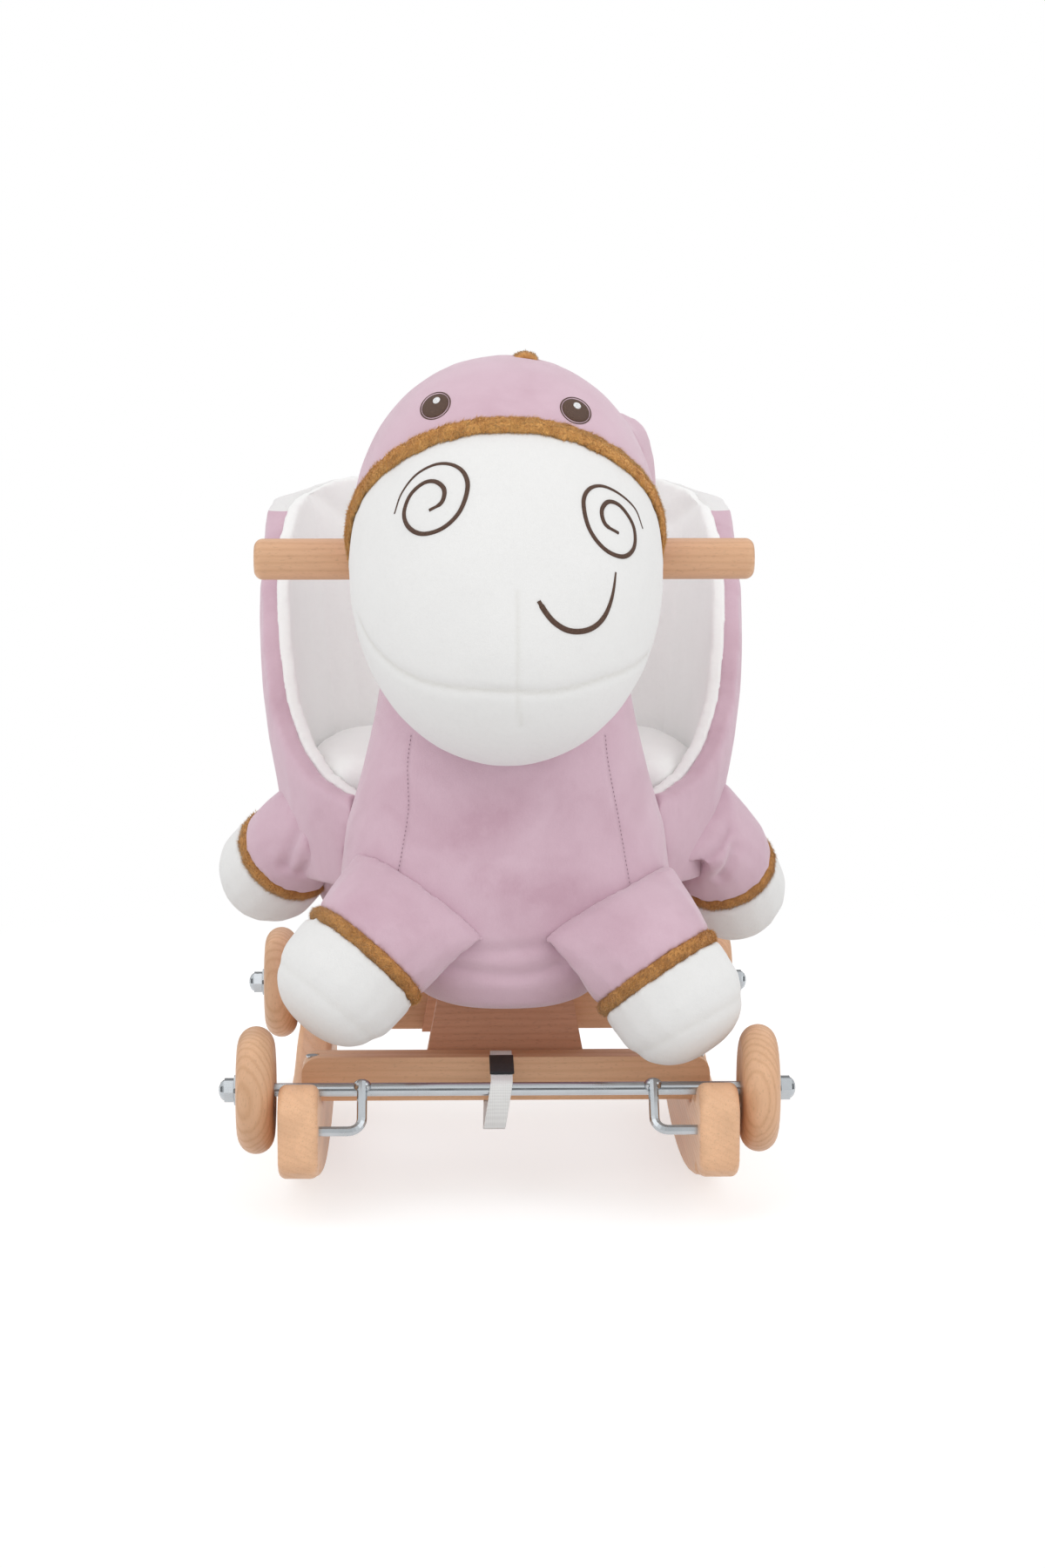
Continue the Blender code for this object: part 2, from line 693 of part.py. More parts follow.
def neck_board_outline():
    """Side outline of the neck board, (y, z): tenon, tapered front, round over the handle."""
    width = NECK_BOARD_REAR_Y - NECK_BOARD_FRONT_Y
    tenon_y = NECK_BOARD_FRONT_Y + TENON_WIDE / 2
    round_r = NECK_BOARD_REAR_Y - HANDLE_Y
    crown = NECK_BOARD_TOP_Z - round_r
    top = arc((HANDLE_Y, crown), round_r, 0.0, math.pi, 10)
    low = SEAT_BOARD_TOP_Z + GAP
    shoulder = (NECK_BOARD_FRONT_Y + width * NECK_BOARD_TAPER, crown - round_r * 2)
    tenon = [(NECK_BOARD_FRONT_Y, low), (NECK_BOARD_FRONT_Y, SEAT_BOARD_Z),
             (tenon_y, SEAT_BOARD_Z), (tenon_y, low)]
    return tenon + [(NECK_BOARD_REAR_Y, low)] + top + [shoulder]


def make_boards(support_slots):
    """Seat, back and neck boards, tenoned into each other, and the handle; gives their rooms."""
    seat_z = SEAT_BOARD_Z + SEAT_BOARD_THICK / 2
    seat, seat_slot, seat_room = make_board(
        "seat_board", seat_board_outline(), SEAT_BOARD_THICK, LEVEL_PLANE, (0, 0, seat_z))
    half = BACK_BOARD_HALF_WIDE
    round_r = BACK_BOARD_CORNER_R
    top = BACK_BOARD_TOP_Z - round_r
    low = SEAT_BOARD_Z - BACK_BOARD_DROP
    foot = [(BACK_BOARD_FOOT_HALF_WIDE, low), (BACK_BOARD_FOOT_HALF_WIDE, BACK_BOARD_FOOT_Z),
            (half, BACK_BOARD_WIDE_FROM_Z)]
    outline = [(-x, z) for x, z in reversed(foot)] + foot
    outline += arc((half - round_r, top), round_r, 0.0, math.pi / 2, 4)
    outline += arc((round_r - half, top), round_r, math.pi / 2, math.pi, 4)
    back_y = BACK_BOARD_Y + BACK_BOARD_THICK / 2
    back, _, back_room = make_board(
        "back_board", outline, BACK_BOARD_THICK, FRONT_PLANE, (0, back_y, 0))
    neck, neck_slot, neck_room = make_board(
        "neck_board", neck_board_outline(), NECK_BOARD_THICK, SIDE_PLANE, (0, 0, 0))
    cut(seat, neck_slot, *support_slots)
    cut(back, seat_slot)
    handle = make_handle("handle", HANDLE_R, HANDLE_LONG)
    handle_room = as_cutter(make_handle("handle_room", HANDLE_R + PLUSH_GAP, HANDLE_LONG))
    cut(neck, make_handle("handle_bore", HANDLE_R + BORE_GAP, HANDLE_LONG))
    lock = Matrix.Translation((0, NECK_BOARD_REAR_Y, HANDLE_Z)) @ facing((0, 1, 0))
    make_screw("handle_screw", HANDLE_SCREW_LONG, lock, (neck, handle))
    return seat_room, back_room, neck_room, handle_room


def make_handle(name, radius, length):
    """The dowel with rounded ends, along X."""
    half = length / 2
    profile = [(0.0, half)]
    centre = (radius - HANDLE_ROUND_R, half - HANDLE_ROUND_R)
    profile += [point for point in reversed(arc(centre, HANDLE_ROUND_R, 0.0, math.pi / 2, 3))]
    profile += [(r, -z) for r, z in reversed(profile)]
    place = Matrix.Translation((0, HANDLE_Y, HANDLE_Z)) @ facing((1, 0, 0))
    return shade_round(make_turned(name, profile, BEECH, place))


def crank_points(sign):
    """Centreline of a crank about the pin: from above the rod down the arm and out along the pin."""
    offset = ROD_R + CRANK_WIRE_R - WELD_SINK
    lean = REST_ANGLE + math.asin(offset / CRANK_R)
    arm = Vector((0.0, math.cos(lean), math.sin(lean)))
    out = Vector((sign, 0.0, 0.0))
    foot = Vector((sign * CRANK_X, 0.0, 0.0))
    reach = math.sqrt(CRANK_R ** 2 - offset ** 2) + CRANK_TAIL
    points = [foot + arm * reach]
    middle = foot + (arm + out) * CRANK_BEND_R
    for i in range(7):
        turn = math.pi / 2 * i / 6
        points.append(middle - out * CRANK_BEND_R * math.cos(turn) - arm * CRANK_BEND_R * math.sin(turn))
    points.append(Vector((sign * (ROCKER_INNER_X + PIN_DEPTH), 0.0, 0.0)))
    return points


def make_cap_nut(name, place, frame):
    """A hexagon with a dome and a blind bore, along +Z from its inner face."""
    corner_r = NUT_ACROSS / math.sqrt(3)
    hexagon = [(0.0, NUT_HEX_HIGH), (corner_r, NUT_HEX_HIGH), (corner_r, 0.0), (0.0, 0.0)]
    nut = make_turned(name, hexagon, STEEL, place, frame, steps=6)
    dome = [(0.0, NUT_HEX_HIGH + NUT_DOME_HIGH)]
    for turn in (65, 40, 15):
        angle = math.radians(turn)
        dome.append((NUT_DOME_R * math.cos(angle), NUT_HEX_HIGH + NUT_DOME_HIGH * math.sin(angle)))
    sunk = NUT_HEX_HIGH - DOME_SINK
    dome += [(NUT_DOME_R, NUT_HEX_HIGH), (NUT_DOME_R, sunk), (0.0, sunk)]
    top = make_turned(name + "_dome", dome, None, place, frame, steps=SMALL_SIDES)
    add_boolean(nut, as_cutter(top), "UNION")
    bore_r = ROD_R + BORE_GAP
    bore_end = NUT_HEX_HIGH + BORE_GAP
    bore = [(0.0, bore_end), (bore_r, bore_end), (bore_r, -DOME_SINK), (0.0, -DOME_SINK)]
    cut(nut, make_turned(name + "_bore", bore, None, place, frame, steps=ROD_SIDES))
    return nut


def wheel_profile():
    """Closed section of a wheel: bore, flat sides and a full round tread."""
    half = WHEEL_WIDTH / 2
    bore = ROD_R + BORE_GAP
    tread = []
    for i in range(9):
        turn = math.pi / 2 - math.pi * i / 8
        bulge = (WHEEL_R - WHEEL_FLAT_R) * math.cos(turn)
        tread.append((WHEEL_FLAT_R + bulge, half * math.sin(turn)))
    return [(bore, half)] + tread + [(bore, -half)]


def make_axle(end, sign):
    """One axle: rod with welded cranks, washers, cap nuts and two wheels, about its pins."""
    frame = bpy.data.objects.new(end + "_axle_frame", None)
    HORSE.objects.link(frame)
    turn = Matrix.Rotation(0.0 if sign < 0 else math.pi, 4, "Z")
    frame.matrix_world = Matrix.Translation((0, sign * PIN_Y, PIN_Z)) @ turn
    rod_at = Vector((0.0, CRANK_AHEAD, CRANK_RISE))
    reach = Vector((ROD_HALF_LONG, 0, 0))
    rod = make_rod("axle_" + end, ROD_R, rod_at - reach, rod_at + reach, STEEL)
    for side in (-1, 1):
        crank = make_wire("crank", crank_points(side), CRANK_WIRE_R, None)
        add_boolean(rod, as_cutter(crank), "UNION")
    welded = evaluated_mesh(rod)
    bpy.data.objects.remove(rod, do_unlink=True)
    shade_round(make_object("axle_" + end, welded, STEEL, parent=frame))

    ring = [(WASHER_R, WASHER_THICK), (WASHER_R, 0.0), (ROD_R + BORE_GAP, 0.0),
            (ROD_R + BORE_GAP, WASHER_THICK)]
    mid_x = (WHEEL_INNER_X + WHEEL_OUTER_X) / 2
    for side in (-1, 1):
        world_side = side * (1 if sign < 0 else -1)
        name = end + ("_left" if world_side < 0 else "_right")
        out = facing((side, 0, 0))
        place = Matrix.Translation(rod_at + Vector((side * mid_x, 0, 0))) @ out
        wheel = make_turned(
            "wheel_" + name, wheel_profile(), BEECH, place, frame, WHEEL_SIDES, closed=True)
        shade_round(wheel)
        place = Matrix.Translation(rod_at + Vector((side * (WHEEL_OUTER_X + GAP), 0, 0))) @ out
        make_turned("washer_" + name, ring, STEEL, place, frame, closed=True)
        place = Matrix.Translation(rod_at + Vector((side * NUT_X, 0, 0))) @ out
        make_cap_nut("cap_nut_" + name, place, frame)


def strap_points():
    """Side path of the front strap, (y, z): over the crossbar, round the rod, back under the bar."""
    lift = STRAP_THICK / 2 + GAP
    bar_front = -CROSSBAR_Y - CROSSBAR_BACK
    rod_y, rod_z = -WHEELBASE / 2, PIN_Z + CRANK_RISE
    wrap = ROD_R + lift
    low_z = rod_z - ROD_R - STRAP_SLACK
    under_z = CROSSBAR_BOTTOM_Z - lift
    return [
        (bar_front + 0.012, CROSSBAR_TOP_Z + lift),
        (bar_front + 0.001, CROSSBAR_TOP_Z + lift),
        (bar_front - 0.004, CROSSBAR_TOP_Z + lift - 0.001),
        (bar_front - 0.022, CROSSBAR_TOP_Z - 0.0015),
        (rod_y + 0.004, rod_z + wrap + 0.0006),
    ] + arc((rod_y, rod_z), wrap, math.radians(95), math.radians(175), 4) + [
        (rod_y - wrap + 0.0003, rod_z - 0.007),
        (rod_y - wrap + 0.0016, rod_z - 0.015),
        (rod_y - wrap + 0.0050, low_z + 0.0020),
        (rod_y - wrap + 0.0110, low_z),
        (rod_y - wrap + 0.0190, low_z + 0.0010),
        (bar_front - 0.016, under_z - 0.0022),
        (bar_front - 0.003, under_z - 0.0002),
        (bar_front + 0.012, under_z),
    ]


def make_ribbon(name, path, wide, thick, material, sign):
    """A strap along a side path, slanting a little in x, as a sheet with thickness."""
    top_z = CROSSBAR_TOP_Z
    rise = STRAP_SLACK + ROD_R + top_z - PIN_Z - CRANK_RISE

    def build(shape):
        rows = []
        for y, z in path:
            fall = min(max((top_z - z) / rise, 0.0), 1.0)
            middle = STRAP_X_TOP + (STRAP_X_BOTTOM - STRAP_X_TOP) * fall
            rows.append([shape.verts.new((middle + side * wide / 2, -sign * y, z)) for side in (-1, 1)])
        for start, stop in zip(rows, rows[1:]):
            shape.faces.new((start[0], start[1], stop[1], stop[0]))

    made = make_object(name, make_mesh(name, build), material)
    body = made.modifiers.new("thickness", "SOLIDIFY")
    body.thickness = thick
    body.offset = 0.0
    return made


def make_straps():
    """Webbing straps and their hook pads, front and rear."""
    path = strap_points()
    pad_lift = STRAP_THICK / 2 + HOOK_PAD_THICK / 2 + GAP
    start, bend, rod_top = (Vector(point) for point in path[2:5])
    end = bend.lerp(rod_top, HOOK_PAD_REACH)
    normals = [Vector((way.y, -way.x)).normalized() for way in (bend - start, end - bend)]
    middle = (normals[0] + normals[1]).normalized()
    pad_path = [
        tuple(spot + normal * pad_lift)
        for spot, normal in ((start, normals[0]), (bend, middle), (end, normals[1]))]
    for end, sign in (("front", -1), ("rear", 1)):
        make_ribbon("strap_" + end, path, STRAP_WIDE, STRAP_THICK, WEBBING, sign)
        make_ribbon("strap_hook_pad_" + end, pad_path, HOOK_PAD_WIDE, HOOK_PAD_THICK, HOOK, sign)


def head_turn():
    """Turn that lays +Z along the head's long axis, forward and down."""
    way = (0.0, -math.cos(HEAD_DIP), -math.sin(HEAD_DIP))
    return facing(way)


def head_point(across, up, ahead):
    """A place in the head, as shares of its half width, half height and half length."""
    high = Vector((0.0, -math.sin(HEAD_DIP), math.cos(HEAD_DIP)))
    front = head_turn() @ Vector((0, 0, 1))
    centre = Vector((across * HEAD_R, HEAD_Y, HEAD_Z))
    return centre + high * up * HEAD_R + front * ahead * HEAD_HALF_LONG


def split_by_plane(source, point, normal, names, materials):
    """Two closed halves of a body, parted by a thin gap at a plane."""
    halves = []
    for name, material, side in zip(names, materials, (1, -1)):
        shape = bmesh.new()
        shape.from_mesh(source.data)
        cut_at = Vector(point) + Vector(normal) * side * GAP / 2
        geometry = shape.verts[:] + shape.edges[:] + shape.faces[:]
        done = bmesh.ops.bisect_plane(
            shape, geom=geometry, plane_co=cut_at, plane_no=normal,
            clear_inner=side > 0, clear_outer=side < 0)
        rim = [item for item in done["geom_cut"] if isinstance(item, bmesh.types.BMEdge)]
        filled = bmesh.ops.edgenet_fill(shape, edges=rim)
        bmesh.ops.triangulate(shape, faces=filled["faces"])
        bmesh.ops.recalc_face_normals(shape, faces=shape.faces)
        mesh = bpy.data.meshes.new(name)
        shape.to_mesh(mesh)
        shape.free()
        halves.append(shade_round(make_object(name, mesh, material)))
    return halves


def make_head():
    """Hood, muzzle, fur trim, mane and ears; also a cutter of the whole head's shape."""
    centre = Vector((0.0, HEAD_Y, HEAD_Z))
    axis = head_turn() @ Vector((0, 0, 1))
    egg = make_head_form("head_form", centre, head_turn())
    room = grown_cutter(egg)
    parting = centre - axis * TRIM_BACK
    muzzle, hood = split_by_plane(egg, parting, axis, ("muzzle", "head_hood"), (WHITE, VELOUR))
    bpy.data.objects.remove(egg, do_unlink=True)

    back_share = TRIM_BACK / HEAD_HALF_LONG
    ring_share = (1 - back_share ** HEAD_BACK_SQUARENESS) ** (1 / HEAD_BACK_SQUARENESS)
    ring_r = HEAD_R * ring_share - TRIM_SINK
    place = Matrix.Translation(parting) @ head_turn() @ Matrix.Diagonal((1.0, 1.0, TRIM_WIDENED, 1.0))
    bpy.ops.mesh.primitive_torus_add(
        major_radius=ring_r, minor_radius=TRIM_R,
        major_segments=TRIM_SIDES, minor_segments=TRIM_WIRE_SIDES)
    torus = bpy.context.active_object
    mesh = torus.data
    bpy.data.objects.remove(torus, do_unlink=True)
    mesh.transform(place)
    trim = make_object("muzzle_trim", mesh, BROWN)
    add_boolean(trim, room, "DIFFERENCE")
    shade_round(trim)

    up = Vector((0.0, -math.sin(HEAD_DIP), math.cos(HEAD_DIP)))
    back, height = HEAD_HALF_LONG - MANE_SINK, HEAD_R - MANE_SINK
    points = []
    for i in range(MANE_STEPS + 1):
        ahead, high = head_section(math.pi - MANE_FROM - (MANE_TO - MANE_FROM) * i / MANE_STEPS)
        points.append(centre + axis * back * ahead + up * height * high)
    mane = make_wire("mane", points, MANE_R, BROWN)
    add_boolean(mane, room, "DIFFERENCE")
    shade_round(mane)
    return hood, muzzle, trim, mane, room


def make_ears(head_room):
    """Two soft ears laid back along the hood."""
    for side, sign, at, way in (
            ("left", -1, LEFT_EAR_AT, LEFT_EAR_WAY),
            ("right", 1, RIGHT_EAR_AT, RIGHT_EAR_WAY)):
        flat = Matrix.Rotation(math.radians(90), 4, "Z")
        turn = facing((sign * way[0], way[1], way[2])) @ flat
        centre = head_point(sign * at[0], at[1], at[2])
        semi = (EAR_HALF_WIDE, EAR_HALF_THICK, EAR_HALF_LONG)
        ear = make_egg("ear_" + side, centre, semi, turn, VELOUR, EAR_SIDES, EAR_ROWS)
        add_boolean(ear, head_room, "DIFFERENCE")


def make_chest(head_room):
    """Chest and neck as one stuffed column, hollowed under the head."""
    rings = [
        squared_round(half_x, half_y, middle, z, CHEST_SQUARENESS, FORM_SIDES)
        for z, middle, half_x, half_y in CHEST_LEVELS]
    chest = make_loft("chest_plush", rings, VELOUR)
    add_boolean(chest, head_room, "DIFFERENCE")
    return chest


def make_rear_body(chest_room):
    """Stuffed body under the seat, fitted to the back of the chest, and its room."""
    rings = [
        squared_round(half_x, half_y, middle, z, REAR_SQUARENESS, FORM_SIDES)
        for z, middle, half_x, half_y in REAR_LEVELS]
    body = make_loft("rear_body_plush", rings, VELOUR)
    room = grown_cutter(body)
    add_boolean(body, chest_room, "DIFFERENCE")
    return body, room


def smooth_station(at):
    """Station of the tub wall at a place from 0 (back) to 1 (front), through the chosen ones."""
    last = len(TUB_STATIONS) - 1
    spot = at * last
    index = min(int(spot), last - 1)
    part = spot - index
    before = TUB_STATIONS[max(index - 1, 0)]
    start, stop = TUB_STATIONS[index], TUB_STATIONS[index + 1]
    after = TUB_STATIONS[min(index + 2, last)]
    if index == 0:
        before = (-stop[0], stop[1], -stop[2], stop[3], stop[4])
    values = []
    for p0, p1, p2, p3 in zip(before, start, stop, after):
        values.append(0.5 * (2 * p1 + (p2 - p0) * part
                             + (2 * p0 - 5 * p1 + 4 * p2 - p3) * part ** 2
                             + (3 * p1 - p0 - 3 * p2 + p3) * part ** 3))
    return values


def tub_frame(at):
    """Floor point, rim point and outward plan normal of the tub at a place from -1 to 1."""
    side = math.copysign(1.0, at)
    here = smooth_station(abs(at))
    step = 0.01
    low, high = max(abs(at) - step, 0.0), min(abs(at) + step, 1.0)
    first, second = smooth_station(low), smooth_station(high)
    if abs(at) < step:
        along = Vector((1.0, 0.0))
    else:
        along = Vector((second[0] - first[0], second[1] - first[1])).normalized()
    normal = Vector((-along[1] * side, along[0]))
    floor = Vector((side * here[0], here[1], TUB_FLOOR_Z + GAP))
    rim = Vector((side * here[2], here[3], here[4]))
    return floor, rim, Vector((normal[0], normal[1], 0.0))


def pad_thickness(at):
    """Outer pad's thickness: full at the back, thinner along the sides."""
    share = (abs(at) - BACK_PAD_UNTIL) / (SIDE_PAD_FROM - BACK_PAD_UNTIL)
    share = min(max(share, 0.0), 1.0)
    ease = share * share * (3 - 2 * share)
    return BACK_PAD_THICK + (SIDE_PAD_THICK - BACK_PAD_THICK) * ease


def tub_point(at, level, offset, bulge=0.0):
    """Point of the wall: level 0 on the floor to 1 at the rim, offset outwards, with a bulge."""
    floor, rim, normal = tub_frame(at)
    swell = bulge * math.sin(math.pi * level)
    return floor.lerp(rim, level) + normal * (offset + swell)


def tub_places():
    """Places along the tub wall, from the front of one side round the back to the other."""
    return [-1.0 + 2.0 * k / TUB_STEPS for k in range(TUB_STEPS + 1)]


def tub_wall(name, inner, outer, material, bulge=0.0):
    """Padded wall between two offsets from the tub's inner face, each a function of place."""
    rings = []
    for at in tub_places():
        inside = [tub_point(at, level, inner(at)) for level in TUB_LEVELS]
        outside = [tub_point(at, level, outer(at), bulge) for level in reversed(TUB_LEVELS)]
        outside[0].z -= (outer(at) - inner(at)) * RIM_ROUND
        rings.append(inside + outside)
    return make_loft(name, rings, material)


def tub_room():
    """A cutter that fills the tub out to its outer face, for what leans on it from outside."""
    rings = []
    for level in (-0.02, *TUB_LEVELS[:-2]):
        ring = []
        for at in tub_places():
            face = LINING_THICK + PAD_GAP + pad_thickness(at) + PAD_GAP
            ring.append(tub_point(at, level, face, SIDE_BULGE if level > 0 else 0.0))
        rings.append(ring)
    return as_cutter(make_loft("tub_room", rings, None))


def make_seat(chest_room):
    """Tub lining, outer pad and cushion."""
    lining = tub_wall("seat_lining", lambda at: 0.0, lambda at: LINING_THICK, WHITE)
    add_boolean(lining, chest_room, "DIFFERENCE")
    outer_from = LINING_THICK + PAD_GAP
    outer = tub_wall(
        "seat_outer", lambda at: outer_from, lambda at: outer_from + pad_thickness(at), VELOUR,
        SIDE_BULGE)
    add_boolean(outer, chest_room, "DIFFERENCE")

    places = [CUSHION_REACH * (2 * k / CUSHION_STEPS - 1) for k in range(CUSHION_STEPS + 1)]
    heights = (
        (TUB_FLOOR_Z + GAP, CUSHION_DRAWN_IN),
        (TUB_FLOOR_Z + CUSHION_FOOT_HIGH, 0.0),
        (CUSHION_SIDE_Z, 0.0),
        (CUSHION_SIDE_Z + CUSHION_EDGE_HIGH, CUSHION_DRAWN_IN * 1.5),
        (CUSHION_CROWN_Z, CUSHION_CROWN_IN),
    )
    rings = []
    for z, inset in heights:
        ring = []
        for at in places:
            floor, _, normal = tub_frame(at)
            spot = floor - normal * (CUSHION_SIDE_GAP + inset)
            ring.append(Vector((spot.x, max(spot.y, CUSHION_FRONT_Y), z)))
        rings.append(ring)
    cushion = make_loft("seat_cushion", rings, WHITE)
    add_boolean(cushion, chest_room, "DIFFERENCE")
    return lining, outer, cushion


def cuff_rings(foot, way, sewn_way, sizes):
    """Rings of a cuff: round at its foot, flat where it is sewn on, then sunk in the body."""
    radius, _, long, _, half_wide, half_thick, bow = sizes
    wide_way = (sewn_way - way * way.dot(sewn_way)).normalized()
    thick_way = way.cross(wide_way)
    if thick_way.y > 0:
        thick_way = -thick_way
    rings = []
    for share in (0.0, 0.3, 0.6, 0.85, 1.0, 1.2):
        flat = min(share, 1.0)
        wide = radius + (half_wide - radius) * flat
        thick = half_thick + (radius - half_thick) * math.cos(math.pi / 2 * flat)
        sink = CUFF_SINK if share > 1.0 else 0.0
        ring = []
        for i in range(LEG_SIDES):
            turn = math.tau * i / LEG_SIDES
            over = thick * math.sin(turn) + bow * flat * math.sin(turn) ** 2 - sink
            ring.append(foot - way * long * share + wide_way * wide * math.cos(turn) + thick_way * over)
        rings.append(ring)
    return rings


def paw_profile(sizes, start):
    """Section of a blunt paw from the band on, (radius, distance)."""
    radius, paw_r, _, long, _, _, _ = sizes
    profile = [(0.0, -start), ((radius + paw_r) / 2, -start)]
    for turn in (20, 38, 54, 68, 80):
        angle = math.radians(turn)
        away = long * math.sin(angle) ** (2 / PAW_SQUARENESS)
        profile.append((paw_r * math.cos(angle) ** (2 / PAW_SQUARENESS), -start - away))
    profile.append((0.0, -start - long))
    return profile


def make_leg(name, place, sizes, rooms):
    """Cuff, fur band and paw along one line, fitted to the body where they lean on it."""
    middle, way, sewn_way = (Vector(part) for part in place)
    way.normalize()
    back = facing(-way)
    half = BAND_LONG / 2
    rings = cuff_rings(middle - way * (half + GAP), way, sewn_way, sizes)
    cuff = make_loft(name + "_cuff", rings, VELOUR)
    band_r = sizes[0] + BAND_PROUD
    band_profile = [
        (0.0, half), (band_r - BAND_ROUND, half), (band_r, half * 0.4), (band_r, -half * 0.4),
        (band_r - BAND_ROUND, -half), (0.0, -half)]
    around = Matrix.Translation(middle) @ back
    band = make_turned(name + "_band", band_profile, BROWN, around, steps=LEG_SIDES)
    paw = make_turned(name + "_paw", paw_profile(sizes, half + GAP), WHITE, around, steps=LEG_SIDES)
    for piece in (cuff, band, paw):
        for room in rooms:
            add_boolean(piece, room, "DIFFERENCE")
        shade_round(piece)


def make_tail(body_room, filled_tub):
    """Velour tail with a brown tuft at its end."""
    points = [(0.0, y, z) for y, z in TAIL_PATH]
    tail = make_wire("tail", points, TAIL_R, VELOUR)
    add_boolean(tail, body_room, "DIFFERENCE")
    add_boolean(tail, filled_tub, "DIFFERENCE")
    way = Vector((0.0, TAIL_PATH[-1][0] - TAIL_PATH[-2][0], TAIL_PATH[-1][1] - TAIL_PATH[-2][1]))
    centre = (0.0, TUFT_MIDDLE[0], TUFT_MIDDLE[1])
    tuft = make_egg(
        "tail_tuft", centre, (TUFT_R, TUFT_R, TUFT_HALF_LONG), facing(way), BROWN, EAR_SIDES, EAR_ROWS)
    add_boolean(tuft, grown_cutter(tail), "DIFFERENCE")
    return tail, tuft


def main():
    """Build every piece, larger ones first so that smaller ones are fitted to them."""
    support_slots = make_base()
    seat_room, back_room, neck_room, handle_room = make_boards(support_slots)
    for end, sign in (("front", -1), ("rear", 1)):
        make_axle(end, sign)
    make_straps()

    hood, muzzle, trim, mane, head_room = make_head()
    make_ears(head_room)
    chest = make_chest(head_room)
    chest_room = grown_cutter(chest)
    for piece in (trim, mane):
        add_boolean(piece, chest_room, "DIFFERENCE")
    body, body_room = make_rear_body(chest_room)
    lining, outer, cushion = make_seat(chest_room)
    filled_tub = tub_room()
    make_leg("front_leg_left", FRONT_LEFT_LEG, FRONT_LEG_SIZES, (chest_room,))
    make_leg("front_leg_right", FRONT_RIGHT_LEG, FRONT_LEG_SIZES, (chest_room,))
    rooms = (body_room, filled_tub, chest_room)
    make_leg("rear_leg_left", REAR_LEFT_LEG, REAR_LEG_SIZES, rooms)
    make_leg("rear_leg_right", REAR_RIGHT_LEG, REAR_LEG_SIZES, rooms)
    make_tail(body_room, filled_tub)

    add_boolean(body, seat_room, "DIFFERENCE")
    add_boolean(body, back_room, "DIFFERENCE")
    add_boolean(outer, back_room, "DIFFERENCE")
    add_boolean(chest, seat_room, "DIFFERENCE")
    add_boolean(chest, neck_room, "DIFFERENCE")
    add_boolean(hood, neck_room, "DIFFERENCE")
    for piece in (hood, muzzle, trim):
        add_boolean(piece, handle_room, "DIFFERENCE")
    add_boolean(muzzle, neck_room, "DIFFERENCE")


main()
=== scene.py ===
"""Finishes for a plush rocking horse with fold-over wheels.

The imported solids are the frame. Every stuffed form is swelled, seamed and given its cloth
here, and wood and steel get their grain, edges and plating. Metres, +Z up, the horse faces -Y,
and left and right are those of someone who looks at its face.
"""
import math
import random

import bpy
import bmesh
from mathutils import Matrix, Vector
from mathutils.bvhtree import BVHTree
from mathutils.kdtree import KDTree


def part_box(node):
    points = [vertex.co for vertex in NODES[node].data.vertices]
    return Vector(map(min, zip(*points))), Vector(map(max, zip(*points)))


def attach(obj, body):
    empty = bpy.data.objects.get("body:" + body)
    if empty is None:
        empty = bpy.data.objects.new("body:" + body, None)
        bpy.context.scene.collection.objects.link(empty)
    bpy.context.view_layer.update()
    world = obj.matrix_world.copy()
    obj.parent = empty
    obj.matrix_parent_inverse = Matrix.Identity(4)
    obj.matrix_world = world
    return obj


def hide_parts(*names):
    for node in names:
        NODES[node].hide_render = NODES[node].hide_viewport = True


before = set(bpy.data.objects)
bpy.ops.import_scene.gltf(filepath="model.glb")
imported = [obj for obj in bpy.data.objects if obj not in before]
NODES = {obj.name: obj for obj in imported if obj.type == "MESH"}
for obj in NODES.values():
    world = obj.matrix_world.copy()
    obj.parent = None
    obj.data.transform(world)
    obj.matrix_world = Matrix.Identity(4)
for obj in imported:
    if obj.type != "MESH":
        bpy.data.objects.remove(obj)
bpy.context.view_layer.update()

bl_info = {
    "name": "Rocking horse finishes",
    "version": (1, 0, 0),
    "blender": (4, 5, 0),
    "location": "View3D > Sidebar > Rocking horse",
    "description": "Cloth, fur, wood and steel for a plush rocking horse with fold-over wheels",
    "category": "Object",
}

SIDES = (("left", -1), ("right", 1))
ENDS = (("front", -1), ("rear", 1))

# Meshes: corners merged, edges that count as sharp, faces that count as level, and the skin's rise.
WELD = 1e-5
EDGE_ANGLE = math.radians(38)
LEVEL_ANGLE = math.radians(0.6)
OUTLINE_SPAN = 0.2
SKIN_OUT = 0.0010

# The photograph's view: its frame in pixels, and the camera.
PHOTO_WIDE, PHOTO_HIGH = 1200, 1800
LENS_MM, FILM_MM = 83.34, 36.0
CAMERA_AT = (-0.0394, -2.2838, 0.5305)
CAMERA_DOWN = math.radians(7.4)
CAMERA_RIGHT = math.radians(1.31)

# Embroidery, as places in the photograph's frame, from its thin or first end.
LEFT_SPIRAL = (
    (453, 590), (461, 567), (477, 546), (498, 534), (517, 533), (532, 542), (537, 560),
    (528, 587), (509, 606), (486, 613), (470, 606), (464, 590), (471, 569), (486, 555),
    (500, 553), (510, 562), (507, 577), (493, 586))
RIGHT_SPIRAL = (
    (738, 607), (729, 584), (711, 567), (691, 558), (676, 562), (670, 578), (677, 608),
    (695, 631), (716, 639), (728, 628), (727, 604), (713, 582), (699, 576), (691, 586),
    (695, 602), (710, 612))
SMILE = (
    (707, 657), (705, 674), (701.5, 690), (695, 706), (686, 717), (674, 723.5), (660, 725),
    (648, 722), (636, 714), (627, 703.5), (618.5, 690))
EYES = (("left", (500, 466), 36, (502, 461)), ("right", (661, 471.5), -31, (662, 467)))
EYE_HALF_WIDE, EYE_HALF_HIGH = 18.5, 13.6
